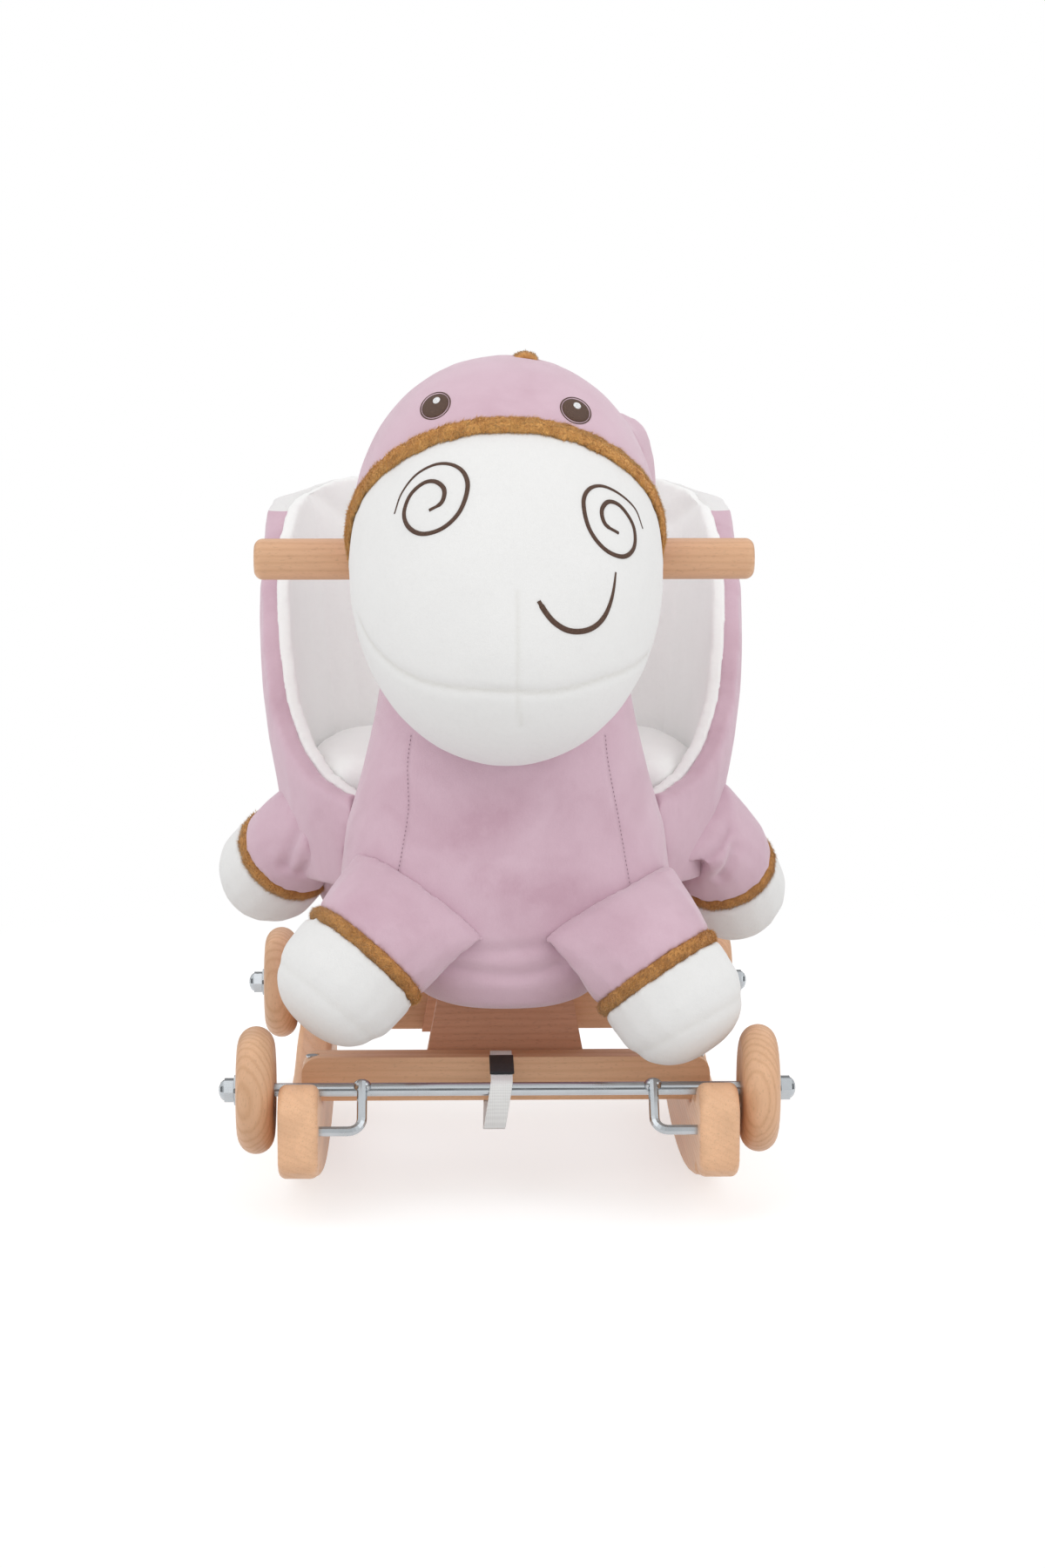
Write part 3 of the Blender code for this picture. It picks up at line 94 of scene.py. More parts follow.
EYE_LINE_IN = 1.7
GLINT_HALF_WIDE, GLINT_HALF_HIGH = 4.8, 3.3

# Seams, folds and brushed patches, in the same frame.
MUZZLE_SEAM = (
    (411, 712), (421, 733), (436, 752), (455, 768), (478, 780), (502, 787), (528, 791),
    (560, 793), (595, 795), (630, 795), (660, 790), (689, 781), (713, 773), (733, 763), (745, 752))
MUZZLE_MIDDLE = ((594, 680), (595, 720), (595, 760), (595, 795), (596, 815), (598, 833))
CHEST_SEAMS = (
    ((472, 845), (468, 879), (469, 929), (462, 975), (454, 1018)),
    ((695, 845), (699, 879), (710, 938), (718, 985), (724, 1020)))
CHEST_FOLDS = (
    ((520, 1084), (560, 1092), (600, 1090), (640, 1083)),
    ((512, 1108), (555, 1118), (600, 1120), (645, 1108)))
BRUSHED = (((528, 972), (556, 946), (584, 932)), ((560, 1010), (600, 1030), (650, 1020)))
REAR_CUFF_FOLDS = {
    "left": (((344, 945), (333, 970), (326, 995)), ((364, 970), (354, 986), (346, 1004))),
    "right": (((838, 950), (826, 970), (809, 987), (794, 999)), ((845, 975), (838, 995), (828, 1008)))}
TUB_CORNERS = (((357, 561), (380, 578), (402, 597)), ((804, 570), (788, 583), (770, 598)))

# Seams and folds: shares of a seam's depth, width and painted shade (a darker mark in its valley). Then the
# brushed patches' reach.
CHEST_SEAM_SHARES, CHEST_FOLD_SHARES = (0.5, 0.45, 0.5), (1.3, 0.9, 0.15)
MUZZLE_SEAM_SHARES, MUZZLE_MIDDLE_SHARES = (0.9, 0.7, 0.8), (0.35, 0.6, 0.45)
TUB_FOLD_SHARES, CUFF_FOLD_SHARES, SOLE_SHARES = (1.6, 1.3, 0.1), (2.2, 1.0, 0.3), (0.5, 0.7, 0.25)
BRUSHED_REACH = 0.011
SEAM_STEPS, ROW_STEPS, LINE_STEPS, EYE_SIDES = 12, 24, 7, 24

# Lighter cloths: the lining's as painted light against the shade inside the tub, and the trim's. Then how
# far the cushion is pressed out and an ear laid down.
LINING_PAINTED_LIGHT = 1.13
TRIM_LIGHTER = 1.22
CUSHION_OUT = 0.006
EAR_TUCKED, EAR_SUNK = 0.034, 0.0012

# Where the tub's white lining wraps over the top of its back.
TUB_MIDDLE_Y = 0.02
RIM_STEP = math.radians(7)
WRAP_FROM_Z, WRAP_FULL_Z = 0.396, 0.408
WRAP_DROP, WRAP_SOFT = 0.014, 0.004

# Towards its front the tub's padding comes down over the body.
SKIRT_FROM_Z, SKIRT_STRETCH = 0.238, 1.2
SKIRT_BACK_Y, SKIRT_FRONT_Y = 0.02, -0.04

# The cloth over the back board, and the mane's front end, which sits beside the middle.
BOARD_COVER, BOARD_COVER_OFF, BOARD_COVER_WIDER = 0.0034, 0.1, 1.05
MANE_ASIDE, MANE_SUNK = 0.012, 0.0022
MANE_FROM_Z, MANE_FULL_Z = 0.42, 0.47

# Stuffing: cloth under pressure, for so many frames, held near a form's foot.
STUFFING = {
    "quality": 4, "mass": 0.2, "tension_stiffness": 18, "compression_stiffness": 6,
    "shear_stiffness": 5, "bending_stiffness": 0.4, "use_pressure": True,
    "uniform_pressure_force": 3.0}
STUFFING_FRAMES = 20
HELD_FROM, HELD_OVER = 0.002, 0.02

# Hairs: length, hairs to the square millimetre, half thickness, root depth, lean and spread.
HAIR_LONG, HAIRS_EACH_MM2 = 0.0030, 2.2
HAIR_HALF_WIDE, HAIR_HALF_THICK, HAIR_ROOT = 0.00022, 0.00018, 0.0003
HAIR_UP, HAIR_UP_VARIES, HAIR_SPREAD = 0.30, 0.25, 0.22
HAIR_SHORTEST, HAIR_LONGER = 0.7, 0.6
# A hair's share at its foot, where the fur takes its painted root shade.
HAIR_FOOT_MARK = 0.1
MANE_HAIR_LONG = 0.0024
TUFT_HAIR_LONG, TUFT_HAIRS_EACH_MM2 = 0.009, 1.2

# The mesh under each fur, and the ways in which the furs are combed.
TRIM_MESH, MANE_MESH, BAND_MESH, TAIL_MESH = 0.0018, 0.0022, 0.0020, 0.0025
TRIM_COMB, MANE_COMB, TUFT_COMB = (0, -0.7, -0.5), (0, 0.8, -0.5), (0, 0.35, -0.8)
BAND_COMB_DOWN = 0.8

# Stitches: rows sunk in the pile, raised lines and raised patches.
STITCH_PITCH, STITCH_LONG, STITCH_HALF, STITCH_PROUD = 0.0026, 0.0013, 0.00022, 0.0001
LINE_SIDES, LINE_RISE = 10, 0.55
LINE_THIN, LINE_SWELL, LINE_SWELLS_OVER, LINE_END_FROM, LINE_END = 0.45, 0.75, 3.0, 0.96, 0.75
PATCH_SIDES, PATCH_SUNK, PATCH_RIM = 40, -0.0006, 0.0002
PATCH_ROWS = ((0.93, 0.75), (0.8, 0.95), (0.55, 1.0), (0.25, 1.0))
EYE_PROUD, GLINT_PROUD = 0.0009, 0.0014
SPIRAL_WIDER, SMILE_WIDER, EYE_LINE_WIDTH = 1.1, 1.3, 0.42
OUTLINE_REACH = 0.012

# Beech of the rockers and wheels: how much paler, and its growth lines' contrast.
ROCKER_PALER, ROCKER_CONTRAST, WHEEL_CONTRAST = 1.14, 0.4, 1.5

# Wood: growth lines to the metre, and the rounding of rockers, wheels and handle.
LINES_EACH_M = 230.0
ROCKER_EDGE, ROCKER_EDGE_STEPS = 0.0048, 6
BORE_R, BORE_EASING, BORE_EASING_DEEP = 0.0043, 0.0008, 0.0005
TREAD_DEEP, TREAD_STEPS, TREAD_POWER, FLAT_IN = 0.0125, 16, 0.9, 0.004
HANDLE_EASING, HANDLE_EASING_STEPS = 0.0055, 8
WHEEL_SIDES, HANDLE_SIDES = 72, 48

# Where the cranks are welded to an axle's rod, how far off its middle, and the weld's half sizes.
CRANK_X, ROD_Y, ROD_Z = 0.086, 0.175, 0.0745
WELD_OUT, WELD_UP = 0.0035, 0.0030
WELD_HALVES = (0.0054, 0.0042, 0.0040, 1.0)

# The edges of straps, and the sole seam's distance from a paw's band.
STRAP_EASING = 0.0003
SOLE_AT = 0.036

# The stage: floor, surroundings and lamps.
FLOOR_WIDE, FLOOR_ROUGH = 14.0, 0.9
FLOOR_GLOW, FLOOR_LIT, FLOOR_TONE = 0.60, 0.2, 0.55
FLOOR_FADE_FROM, FLOOR_FADE_TO = 0.45, 0.95
ROOM_LIGHT = 0.90
ROOM_BANDS = ((0.0, 0.55), (0.47, 0.5), (0.53, 0.12), (0.60, 0.16), (0.70, 0.9), (1.0, 1.1))
LAMPS = (
    ("key", (-1.3, -2.0, 2.6), 1.8, 12.0),
    ("fill", (1.9, -1.7, 1.6), 1.6, 7.0),
    ("top", (0.0, 0.3, 3.0), 2.4, 4.0))
LAMPS_AIM = (0, 0, 0.25)

# ---------------------------------------------------------------- sizes and colours


def colour_setting(name, description, default):
    """A colour that can be set."""
    return bpy.props.FloatVectorProperty(
        name=name, description=description, subtype="COLOR", size=3, min=0, max=1, default=default)


def length_setting(name, description, default, least, most):
    """A size that can be set, in metres."""
    return bpy.props.FloatProperty(
        name=name, description=description, unit="LENGTH", default=default, min=least, max=most)


class HorseColours(bpy.types.PropertyGroup):
    """Colours of the horse's cloth, wood and metal."""

    velour: colour_setting("Velour", "Pink velour of body, hood and cuffs", (0.665, 0.475, 0.555))
    velour_deep: colour_setting(
        "Velour against the nap", "The same velour where its pile is brushed the other way",
        (0.54, 0.345, 0.42))
    plush: colour_setting("White plush", "Short plush of muzzle, paws and seat", (0.815, 0.813, 0.805))
    fur: colour_setting("Brown fur", "Fur of mane, tail and bands, at its tips", (0.90, 0.47, 0.15))
    # The roots' colour is painted shade between the hairs.
    fur_root: colour_setting("Brown fur, roots", "The same fur between its hairs", (0.44, 0.185, 0.05))
    thread: colour_setting("Embroidery", "Thread of eyes, spirals and smile", (0.105, 0.060, 0.043))
    beech: colour_setting(
        "Beech", "Lacquered beech of rockers, bars, wheels and handle", (0.70, 0.425, 0.256))
    # The boards' colour is their wood, made darker as painted shade from the body above them.
    board: colour_setting("Board", "Boards under and inside the horse", (0.62, 0.32, 0.195))
    steel: colour_setting("Zinc plating", "Plating of axles, nuts and screws", (0.50, 0.53, 0.555))
    webbing: colour_setting("Webbing", "Straps of the axles", (0.88, 0.88, 0.87))


class HorseSizes(bpy.types.PropertyGroup):
    """Sizes of cloth, seams and edges."""

    big_mesh: length_setting(
        "Mesh of large forms", "Mesh size from which the large stuffed forms are swelled",
        0.005, 0.003, 0.01)
    small_mesh: length_setting(
        "Mesh of small forms", "Mesh size from which the small stuffed forms are swelled",
        0.0035, 0.002, 0.01)
    swell: length_setting(
        "Swelling", "The most that a stuffed form's surface may move as it is filled", 0.005, 0, 0.02)
    seam_depth: length_setting("Seam depth", "How far a seam draws the cloth in", 0.0016, 0, 0.01)
    seam_width: length_setting("Seam width", "Half width of the valley along a seam", 0.005, 0.001, 0.02)
    thread_width: length_setting("Embroidery line", "Width of the embroidered lines", 0.0021, 0.0005, 0.01)
    wood_edge: length_setting("Eased wood edge", "Width of the rounding on wooden edges", 0.0022, 0, 0.01)


def colours():
    """The colours in use."""
    return bpy.context.scene.horse_colours


def sizes():
    """The sizes in use."""
    return bpy.context.scene.horse_sizes


# ---------------------------------------------------------------- shader expressions


def ahead(operation):
    """A method that does the operation with the value first."""
    return lambda self, *others: self.math(operation, *others)


def behind(operation):
    """A method that does the operation with the value last."""
    return lambda self, other: self.math(operation, other, last=True)


class Value:
    """A node's output socket that arithmetic works on."""

    def __init__(self, tree, socket):
        self.tree = tree
        self.socket = socket

    def math(self, operation, *others, last=False):
        node = self.tree.nodes.new("ShaderNodeMath")
        node.operation = operation
        for slot, value in zip(node.inputs, (*others, self) if last else (self, *others)):
            feed(self.tree, slot, value)
        return Value(self.tree, node.outputs[0])

    __add__, __radd__ = ahead("ADD"), behind("ADD")
    __sub__, __rsub__ = ahead("SUBTRACT"), behind("SUBTRACT")
    __mul__, __rmul__ = ahead("MULTIPLY"), behind("MULTIPLY")
    __truediv__, __rtruediv__ = ahead("DIVIDE"), behind("DIVIDE")
    __pow__ = ahead("POWER")
    least, most = ahead("MINIMUM"), ahead("MAXIMUM")


def feed(tree, slot, value):
    """Link a value to an input, or set the input to it."""
    if isinstance(value, Value):
        tree.links.new(value.socket, slot)
    elif hasattr(value, "__len__") and slot.type == "RGBA" and len(value) == 3:
        slot.default_value = (*value, 1.0)
    else:
        slot.default_value = value


class Finish:
    """A node material built up around one Principled shader."""

    def __init__(self, name, **settings):
        self.made = bpy.data.materials.new(name)
        self.made.use_nodes = True
        self.tree = self.made.node_tree
        self.shader = self.tree.nodes["Principled BSDF"]
        self.set(**settings)
        coordinates = self.tree.nodes.new("ShaderNodeTexCoord")
        self.place = Value(self.tree, coordinates.outputs["Object"])

    def set(self, **inputs):
        """Feed sockets of the shader, words joined by underscores."""
        for name, value in inputs.items():
            feed(self.tree, self.shader.inputs[name.replace("_", " ").title().replace("Ior", "IOR")], value)

    def node(self, kind, settings=None, inputs=None, output=0):
        """Any other node: settings first, then inputs by name or number."""
        node = self.tree.nodes.new(kind)
        for name, value in (settings or {}).items():
            if name == "stops":
                ramp = node.color_ramp.elements
                while len(ramp) > len(value):
                    ramp.remove(ramp[-1])
                for i, (at, colour) in enumerate(value):
                    stop = ramp[i] if i < len(ramp) else ramp.new(at)
                    stop.position = at
                    stop.color = (*colour, 1.0) if hasattr(colour, "__len__") else (colour,) * 3 + (1.0,)
            else:
                setattr(node, name, value)
        for name, value in (inputs or {}).items():
            feed(self.tree, node.inputs[name], value)
        return Value(self.tree, node.outputs[output])

    def mapped(self, scale, turn=(0, 0, 0)):
        """Object coordinates turned and then scaled."""
        turned = self.node("ShaderNodeMapping", None, {"Vector": self.place, "Rotation": turn})
        return self.node("ShaderNodeMapping", None, {"Vector": turned, "Scale": scale})

    def noise(self, scale, detail=2.0, rough=0.5, vector=None, warp=0.0):
        """Smooth noise from 0 to 1, of so many bumps to the metre."""
        return self.node("ShaderNodeTexNoise", None, {
            "Vector": vector or self.place, "Scale": scale, "Detail": detail, "Roughness": rough,
            "Distortion": warp})

    def attribute(self, name):
        """A value kept on the mesh's points."""
        return self.node("ShaderNodeAttribute", {"attribute_name": name}, output="Fac")

    def axes(self):
        """The object coordinates as three values."""
        return [self.node("ShaderNodeSeparateXYZ", None, {"Vector": self.place}, output=i) for i in range(3)]

    def blend(self, share, first, second):
        """A colour between two colours."""
        return self.node("ShaderNodeMix", {"data_type": "RGBA"}, {0: share, 6: first, 7: second}, output=2)

    def between(self, value, low, high):
        """The value's way from low to high, kept within 0 and 1."""
        return self.node("ShaderNodeMapRange", {"clamp": True}, {
            "Value": value, "From Min": low, "From Max": high})

    def bump(self, height, distance, strength=1.0, normal=None):
        """Fine relief, height from 0 to 1 over a distance in metres."""
        inputs = {"Height": height, "Distance": distance, "Strength": strength}
        if normal:
            inputs["Normal"] = normal
        return self.node("ShaderNodeBump", None, inputs)


FINISHES = {}


def finish_of(name, maker, *facts):
    """The named finish, made once."""
    if name not in FINISHES:
        FINISHES[name] = maker(name, *facts).made
    return FINISHES[name]


def shaded(colour, factor):
    """A colour made darker or lighter."""
    return tuple(min(part * factor, 1.0) for part in colour)


def velour_cloth(name):
    """Short-pile velour: patches of nap, fine pile, and painted shade along its stitched seams and folds."""
    velour, deep = tuple(colours().velour), tuple(colours().velour_deep)
    cloth = Finish(name, roughness=0.85, sheen_weight=0.6, sheen_roughness=0.42)
    cloth.set(sheen_tint=(1.0, 0.94, 0.97, 1.0), specular_ior_level=0.12)
    patches = cloth.between(cloth.noise(17.0, 3.0, 0.6, warp=0.6), 0.44, 0.72)
    brushed = cloth.between(cloth.noise(60.0, 4.0, 0.65), 0.35, 0.75)
    pile = cloth.noise(2600.0, 2.0, 0.7)
    knit = cloth.noise(900.0, 2.0, 0.6, cloth.mapped((1.0, 1.0, 0.45)))
    share = patches * 0.55 + brushed * 0.22 + cloth.between(knit, 0.3, 0.7) * 0.10
    share = (share + cloth.attribute("brushed") * (0.25 + 0.5 * brushed)).least(1.0)
    tone = cloth.blend(share, velour, deep)
    tone = cloth.blend(cloth.between(pile, 0.25, 0.8) * 0.22, tone, shaded(velour, 1.28))
    # Painted shade along seams and folds, from the mark that the seams leave.
    seam = cloth.attribute("seam")
    tone = cloth.blend(seam * 0.45, tone, shaded(deep, 0.62))
    lined = cloth.between(cloth.attribute("lined"), 0.46, 0.54)
    tone = cloth.blend(lined, tone, tuple(colours().plush))
    relief = pile * 0.6 + knit * 0.4
    cloth.set(base_color=tone, normal=cloth.bump(relief, 0.0006, 0.55))
    return cloth


def white_cloth(name, lighter=1.0):
    """White short plush: soft pile, and faint grey painted shade in its creases and along its seams."""
    plush = shaded(colours().plush, lighter)
    cloth = Finish(name, roughness=0.9, sheen_weight=0.25, sheen_roughness=0.5)
    cloth.set(specular_ior_level=0.1)
    pile = cloth.noise(1500.0, 3.0, 0.65)
    tufts = cloth.noise(330.0, 2.0, 0.6)
    share = cloth.between(cloth.noise(22.0, 3.0, 0.55), 0.4, 0.8) * 0.5
    share = share + cloth.between(tufts, 0.45, 0.8) * 0.35
    tone = cloth.blend(share, plush, shaded(plush, 0.95))
    # Painted shade along seams and creases, from the mark that the seams leave.
    seam = cloth.attribute("seam")
    tone = cloth.blend(seam * 0.5, tone, (plush[0] * 0.74, plush[1] * 0.72, plush[2] * 0.66))
    cloth.set(base_color=tone, normal=cloth.bump(pile * 0.5 + tufts * 0.5, 0.0009, 0.45))
    return cloth


def fur_cloth(name, lighter=1.0):
    """Brown fur: painted light on its tips, painted shade at its roots, and combed strands."""
    tips, root_shade = shaded(colours().fur, lighter), shaded(colours().fur_root, lighter)
    cloth = Finish(name, roughness=0.75, sheen_weight=0.2, sheen_roughness=0.4)
    cloth.set(specular_ior_level=0.3)
    clumps = cloth.between(cloth.noise(140.0, 3.0, 0.6, warp=0.8), 0.36, 0.62)
    strands = cloth.between(cloth.noise(900.0, 3.0, 0.7, cloth.mapped((1.0, 0.35, 0.35))), 0.3, 0.72)
    along = cloth.attribute("hair")
    # Each hair runs from painted shade at its root to its tips, which get a painted highlight.
    share = (clumps * 0.4 + strands * 0.35 + along * 0.55).least(1.0)
    tone = cloth.blend(share, root_shade, tips)
    tone = cloth.blend(along * strands * 0.4, tone, shaded(tips, 1.22))
    cloth.set(base_color=tone, normal=cloth.bump(strands, 0.001, 0.7))
    return cloth


def wood(name, grain, colour_name="beech", paler=1.0, contrast=1.0):
    """Beech with growth lines, its grain along one axis, and short dark rays."""
    tone_of = shaded(getattr(colours(), colour_name), paler)
    timber = Finish(name, specular_ior_level=0.35)
    along = {"x": (4, 45, 45), "y": (45, 4, 45), "z": (45, 45, 4)}[grain]
    x, y, z = timber.axes()
    across = {"x": z + y * 0.35, "y": z + x * 0.45, "z": y + x * 0.55}[grain]
    sway = timber.noise(1.0, 3.0, 0.55, timber.mapped(along), warp=0.6)
    ring = ((across * LINES_EACH_M + sway * 1.9) * math.tau).math("SINE") * 0.5 + 0.5
    late = ring ** 3.0
    fine = timber.noise(1.0, 3.0, 0.6, timber.mapped(tuple(part * 16 for part in along)))
    flecked = tuple(part * (28 if part > 9 else 80) for part in along)
    rays = timber.noise(1.0, 1.0, 0.5, timber.mapped(flecked))
    ray = timber.between(rays, 0.60, 0.70)
    broad = timber.noise(14.0, 2.0, 0.5)
    late_tone = (tone_of[0] * 0.66, tone_of[1] * 0.55, tone_of[2] * 0.42)
    warm_tone = (tone_of[0], tone_of[1] * 0.90, tone_of[2] * 0.86)
    tone = timber.blend(timber.between(sway, 0.3, 0.75), shaded(tone_of, 1.12), shaded(tone_of, 0.88))
    tone = timber.blend(late * (0.14 + 0.16 * sway) * contrast, tone, late_tone)
    tone = timber.blend(timber.between(fine, 0.45, 0.8) * 0.24, tone, shaded(tone_of, 0.66))
    tone = timber.blend(ray * 0.26, tone, shaded(tone_of, 0.45))
    tone = timber.blend(timber.between(broad, 0.35, 0.7) * 0.3, tone, warm_tone)
    timber.set(base_color=tone, roughness=0.40 + late * 0.14)
    timber.set(normal=timber.bump(fine * 0.6 + late * 0.4, 0.0003, 0.35))
    return timber


def plated_steel(name):
    """Bright zinc plating with faint handling marks."""
    bright = tuple(colours().steel)
    metal = Finish(name, metallic=1.0)
    marks = metal.noise(60.0, 4.0, 0.6)
    scratches = metal.noise(700.0, 2.0, 0.5, metal.mapped((0.15, 1.0, 1.0)))
    handled = metal.between(marks, 0.4, 0.8)
    tone = metal.blend(handled * 0.5, bright, shaded(bright, 0.78))
    metal.set(base_color=tone, roughness=0.20 + handled * 0.14)
    metal.set(normal=metal.bump(scratches, 0.0002, 0.12))
    return metal


def webbing_cloth(name):
    """Woven webbing: ribs across and a fine twill along."""
    pale = tuple(colours().webbing)
    cloth = Finish(name, roughness=0.8, sheen_weight=0.1)
    x, y, z = cloth.axes()
    run = y + z * 0.7
    ribs = (run * 5200.0).math("SINE") * 0.5 + 0.5
    cords = (x * 5600.0).math("SINE") * 0.5 + 0.5
    weave = ribs * 0.6 + cords * 0.4
    tone = cloth.blend(weave * 0.5, shaded(pale, 0.80), pale)
    cloth.set(base_color=tone, normal=cloth.bump(weave, 0.0003, 0.5))
    return cloth


def hook_tape(name):
    """Black hook tape: a field of tiny hooks."""
    cloth = Finish(name, roughness=0.65)
    hooks = cloth.noise(1900.0, 1.0, 0.5)
    tone = cloth.blend(cloth.between(hooks, 0.4, 0.75), (0.006, 0.006, 0.007), (0.05, 0.05, 0.055))
    cloth.set(base_color=tone, normal=cloth.bump(hooks, 0.0006, 0.8))
    return cloth


def embroidery(name, bright=False):
    """Satin stitch: close parallel threads."""
    silk = (0.82, 0.83, 0.85) if bright else tuple(colours().thread)
    thread = Finish(name, roughness=0.6, specular_ior_level=0.2)
    slant = thread.mapped((0.4, 1.0, 1.6), (0.0, math.radians(35), 0.0))
    stitches = thread.noise(1500.0, 2.0, 0.5, slant)
    lit = thread.between(stitches, 0.35, 0.7)
    tone = thread.blend(lit, shaded(silk, 0.72), shaded(silk, 1.2))
    thread.set(base_color=tone, normal=thread.bump(stitches, 0.0004, 0.7))
    return thread


def seam_thread(name):
    """Thread of the velour's seams, sunk in its pile, much darker than the velour as painted shade of the
    stitch holes.
    """
    thread = Finish(name, roughness=0.7)
    fibre = thread.noise(2400.0, 2.0, 0.5)
    deep = tuple(colours().velour_deep)
    tone = thread.blend(fibre, shaded(deep, 0.35), shaded(deep, 0.6))
    thread.set(base_color=tone, normal=thread.bump(fibre, 0.0002, 0.5))
    return thread


# ---------------------------------------------------------------- modelling helpers


def only(*chosen):
    """Select these objects alone, the last one active."""
    bpy.ops.object.select_all(action="DESELECT")
    for item in chosen:
        item.select_set(True)
    bpy.context.view_layer.objects.active = chosen[-1]


def new_piece(name, mesh):
    """An object of the horse, at the origin."""
    piece = bpy.data.objects.new(name, mesh)
    bpy.context.scene.collection.objects.link(piece)
    return piece


def copy_of(node, name):
    """A welded copy of a frame node's mesh as a piece of its own."""
    piece = new_piece(name, NODES[node].data.copy())
    piece.data.name = name
    only(piece)
    if piece.data.has_custom_normals:
        bpy.ops.mesh.customdata_custom_splitnormals_clear()
    bpy.ops.object.mode_set(mode="EDIT")
    bpy.ops.mesh.select_all(action="SELECT")
    bpy.ops.mesh.remove_doubles(threshold=WELD)
    bpy.ops.object.mode_set(mode="OBJECT")
    return piece


def piece_of(name, shape, angle=None):
    """A smooth piece from a worked shape."""
    mesh = bpy.data.meshes.new(name)
    shape.to_mesh(mesh)
    shape.free()
    piece = new_piece(name, mesh)
    smooth_all(piece, angle)
    return piece


def walls(shape, rings):
    """Faces between rings of points, and one that closes the first ring."""
    for first, second in zip(rings, rings[1:]):
        for k in range(len(first)):
            beside = (k + 1) % len(first)
            shape.faces.new((first[k], first[beside], second[beside], second[k]))
    shape.faces.new(rings[0])


def add_beads(shape, places, halves, sides):
    """Small ellipsoids, each at its place and turn."""
    for place in places:
        bmesh.ops.create_uvsphere(
            shape, u_segments=sides[0], v_segments=sides[1], radius=1.0,
            matrix=place @ Matrix.Diagonal(halves))


def apply_all(piece):
    """Apply every modifier of a piece, in order."""
    only(piece)
    for step in list(piece.modifiers):
        bpy.ops.object.modifier_apply(modifier=step.name)


def finish_node(name, material):
    """Give a frame node that stays its finish."""
    NODES[name].data.materials.clear()
    NODES[name].data.materials.append(material)


def eased(share):
    """A share from 0 to 1 with soft ends."""
    share = min(1.0, max(0.0, share))
    return share * share * (3 - 2 * share)


def dress(piece, material, replaced=(), body="horse"):
    """Give a piece its finish, its body and the nodes it stands for."""
    piece.data.materials.clear()
    piece.data.materials.append(material)
    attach(piece, body)
    if replaced:
        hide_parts(*replaced)
    return piece


def smooth_all(piece, angle=None):
    """Smooth shading, with edges sharper than the angle kept."""
    only(piece)
    if angle is None:
        bpy.ops.object.shade_smooth()
    else:
        bpy.ops.object.shade_smooth_by_angle(angle=math.radians(angle))


def remeshed(piece, voxel, rounds):
    """An even mesh of a form, its facets smoothed away."""
    only(piece)
    piece.data.remesh_voxel_size = voxel
    piece.data.remesh_voxel_adaptivity = 0.0
    bpy.ops.object.voxel_remesh()
    ease = piece.modifiers.new("ease", "SMOOTH")
    ease.factor = 0.5
    ease.iterations = rounds
    fuller = piece.modifiers.new("fuller", "DISPLACE")
    fuller.mid_level = 0.0
    fuller.strength = SKIN_OUT
    apply_all(piece)
    return piece


def swelled(piece, most, held=None):
    """Fill a form with stuffing: cloth under pressure, each point moved at most so far."""
    if most <= 0:
        return piece
    before = [vertex.co.copy() for vertex in piece.data.vertices]
    cloth = piece.modifiers.new("stuffing", "CLOTH")
    for name, value in STUFFING.items():
        setattr(cloth.settings, name, value)
    cloth.settings.effector_weights.gravity = 0.0
    cloth.collision_settings.use_collision = False
    cloth.point_cache.frame_end = STUFFING_FRAMES
    for step in range(1, STUFFING_FRAMES + 1):
        bpy.context.scene.frame_set(step)
    graph = bpy.context.evaluated_depsgraph_get()
    filled = [vertex.co.copy() for vertex in piece.evaluated_get(graph).data.vertices]
    piece.modifiers.remove(cloth)
    bpy.context.scene.frame_set(1)
    for vertex, start, stop in zip(piece.data.vertices, before, filled):
        move = stop - start
        reach = most * (held(start) if held else 1.0)
        if move.length > reach:
            move = move * (reach / move.length)
        vertex.co = start + move
    return piece


def refined(piece):
    """One finer level of mesh, smoothed."""
    finer = piece.modifiers.new("finer", "SUBSURF")
    finer.levels = finer.render_levels = 1
    apply_all(piece)
    smooth_all(piece)
    return piece


def seamed(piece, seams):
    """Draw the cloth in along seams, each a distance and its shares of depth, width and painted shade."""
    depth, width = sizes().seam_depth, sizes().seam_width
    mesh = piece.data
    # The mark kept here is painted shade in the valley of each seam and fold.
    mark = mesh.attributes.new("seam", "FLOAT", "POINT")
    normals = [vertex.normal.copy() for vertex in mesh.vertices]
    for vertex, normal in zip(mesh.vertices, normals):
        co = vertex.co.copy()
        most = 0.0
        for distance, deeper, wider, shade_share in seams:
            away = distance(co) / (width * wider)
            if away < 3.0:
                vertex.co -= normal * depth * deeper * math.exp(-away * away)
                most = max(most, shade_share * math.exp(-(away * 2.2) ** 2))
        mark.data[vertex.index].value = most
    return piece


def brushed(piece, courses, reach):
    """Mark where the pile has been brushed the other way."""
    mark = piece.data.attributes.new("brushed", "FLOAT", "POINT")
    nearest = [near_course(piece, course) for course in courses]
    for vertex in piece.data.vertices:
        away = min(distance(vertex.co) for distance in nearest) / reach
        mark.data[vertex.index].value = math.exp(-away * away)


def near_course(piece, course):
    """Distance to a course of the photograph's frame, laid on a piece."""
    tree = tree_of(piece)
    spots = [on_cloth(tree, *place)[0] for place in curve_through(course, SEAM_STEPS)]
    return near_points(spots)


def near_points(spots):
    """Distance to a run of points, filled in to half a millimetre."""
    run = []
    for first, second in zip(spots, spots[1:]):
        steps = max(1, int((second - first).length / 0.0005))
        run += [first.lerp(second, k / steps) for k in range(steps)]
    run.append(spots[-1])
    search = KDTree(len(run))
    for i, spot in enumerate(run):
        search.insert(spot, i)
    search.balance()
    return lambda co: search.find(co)[2]


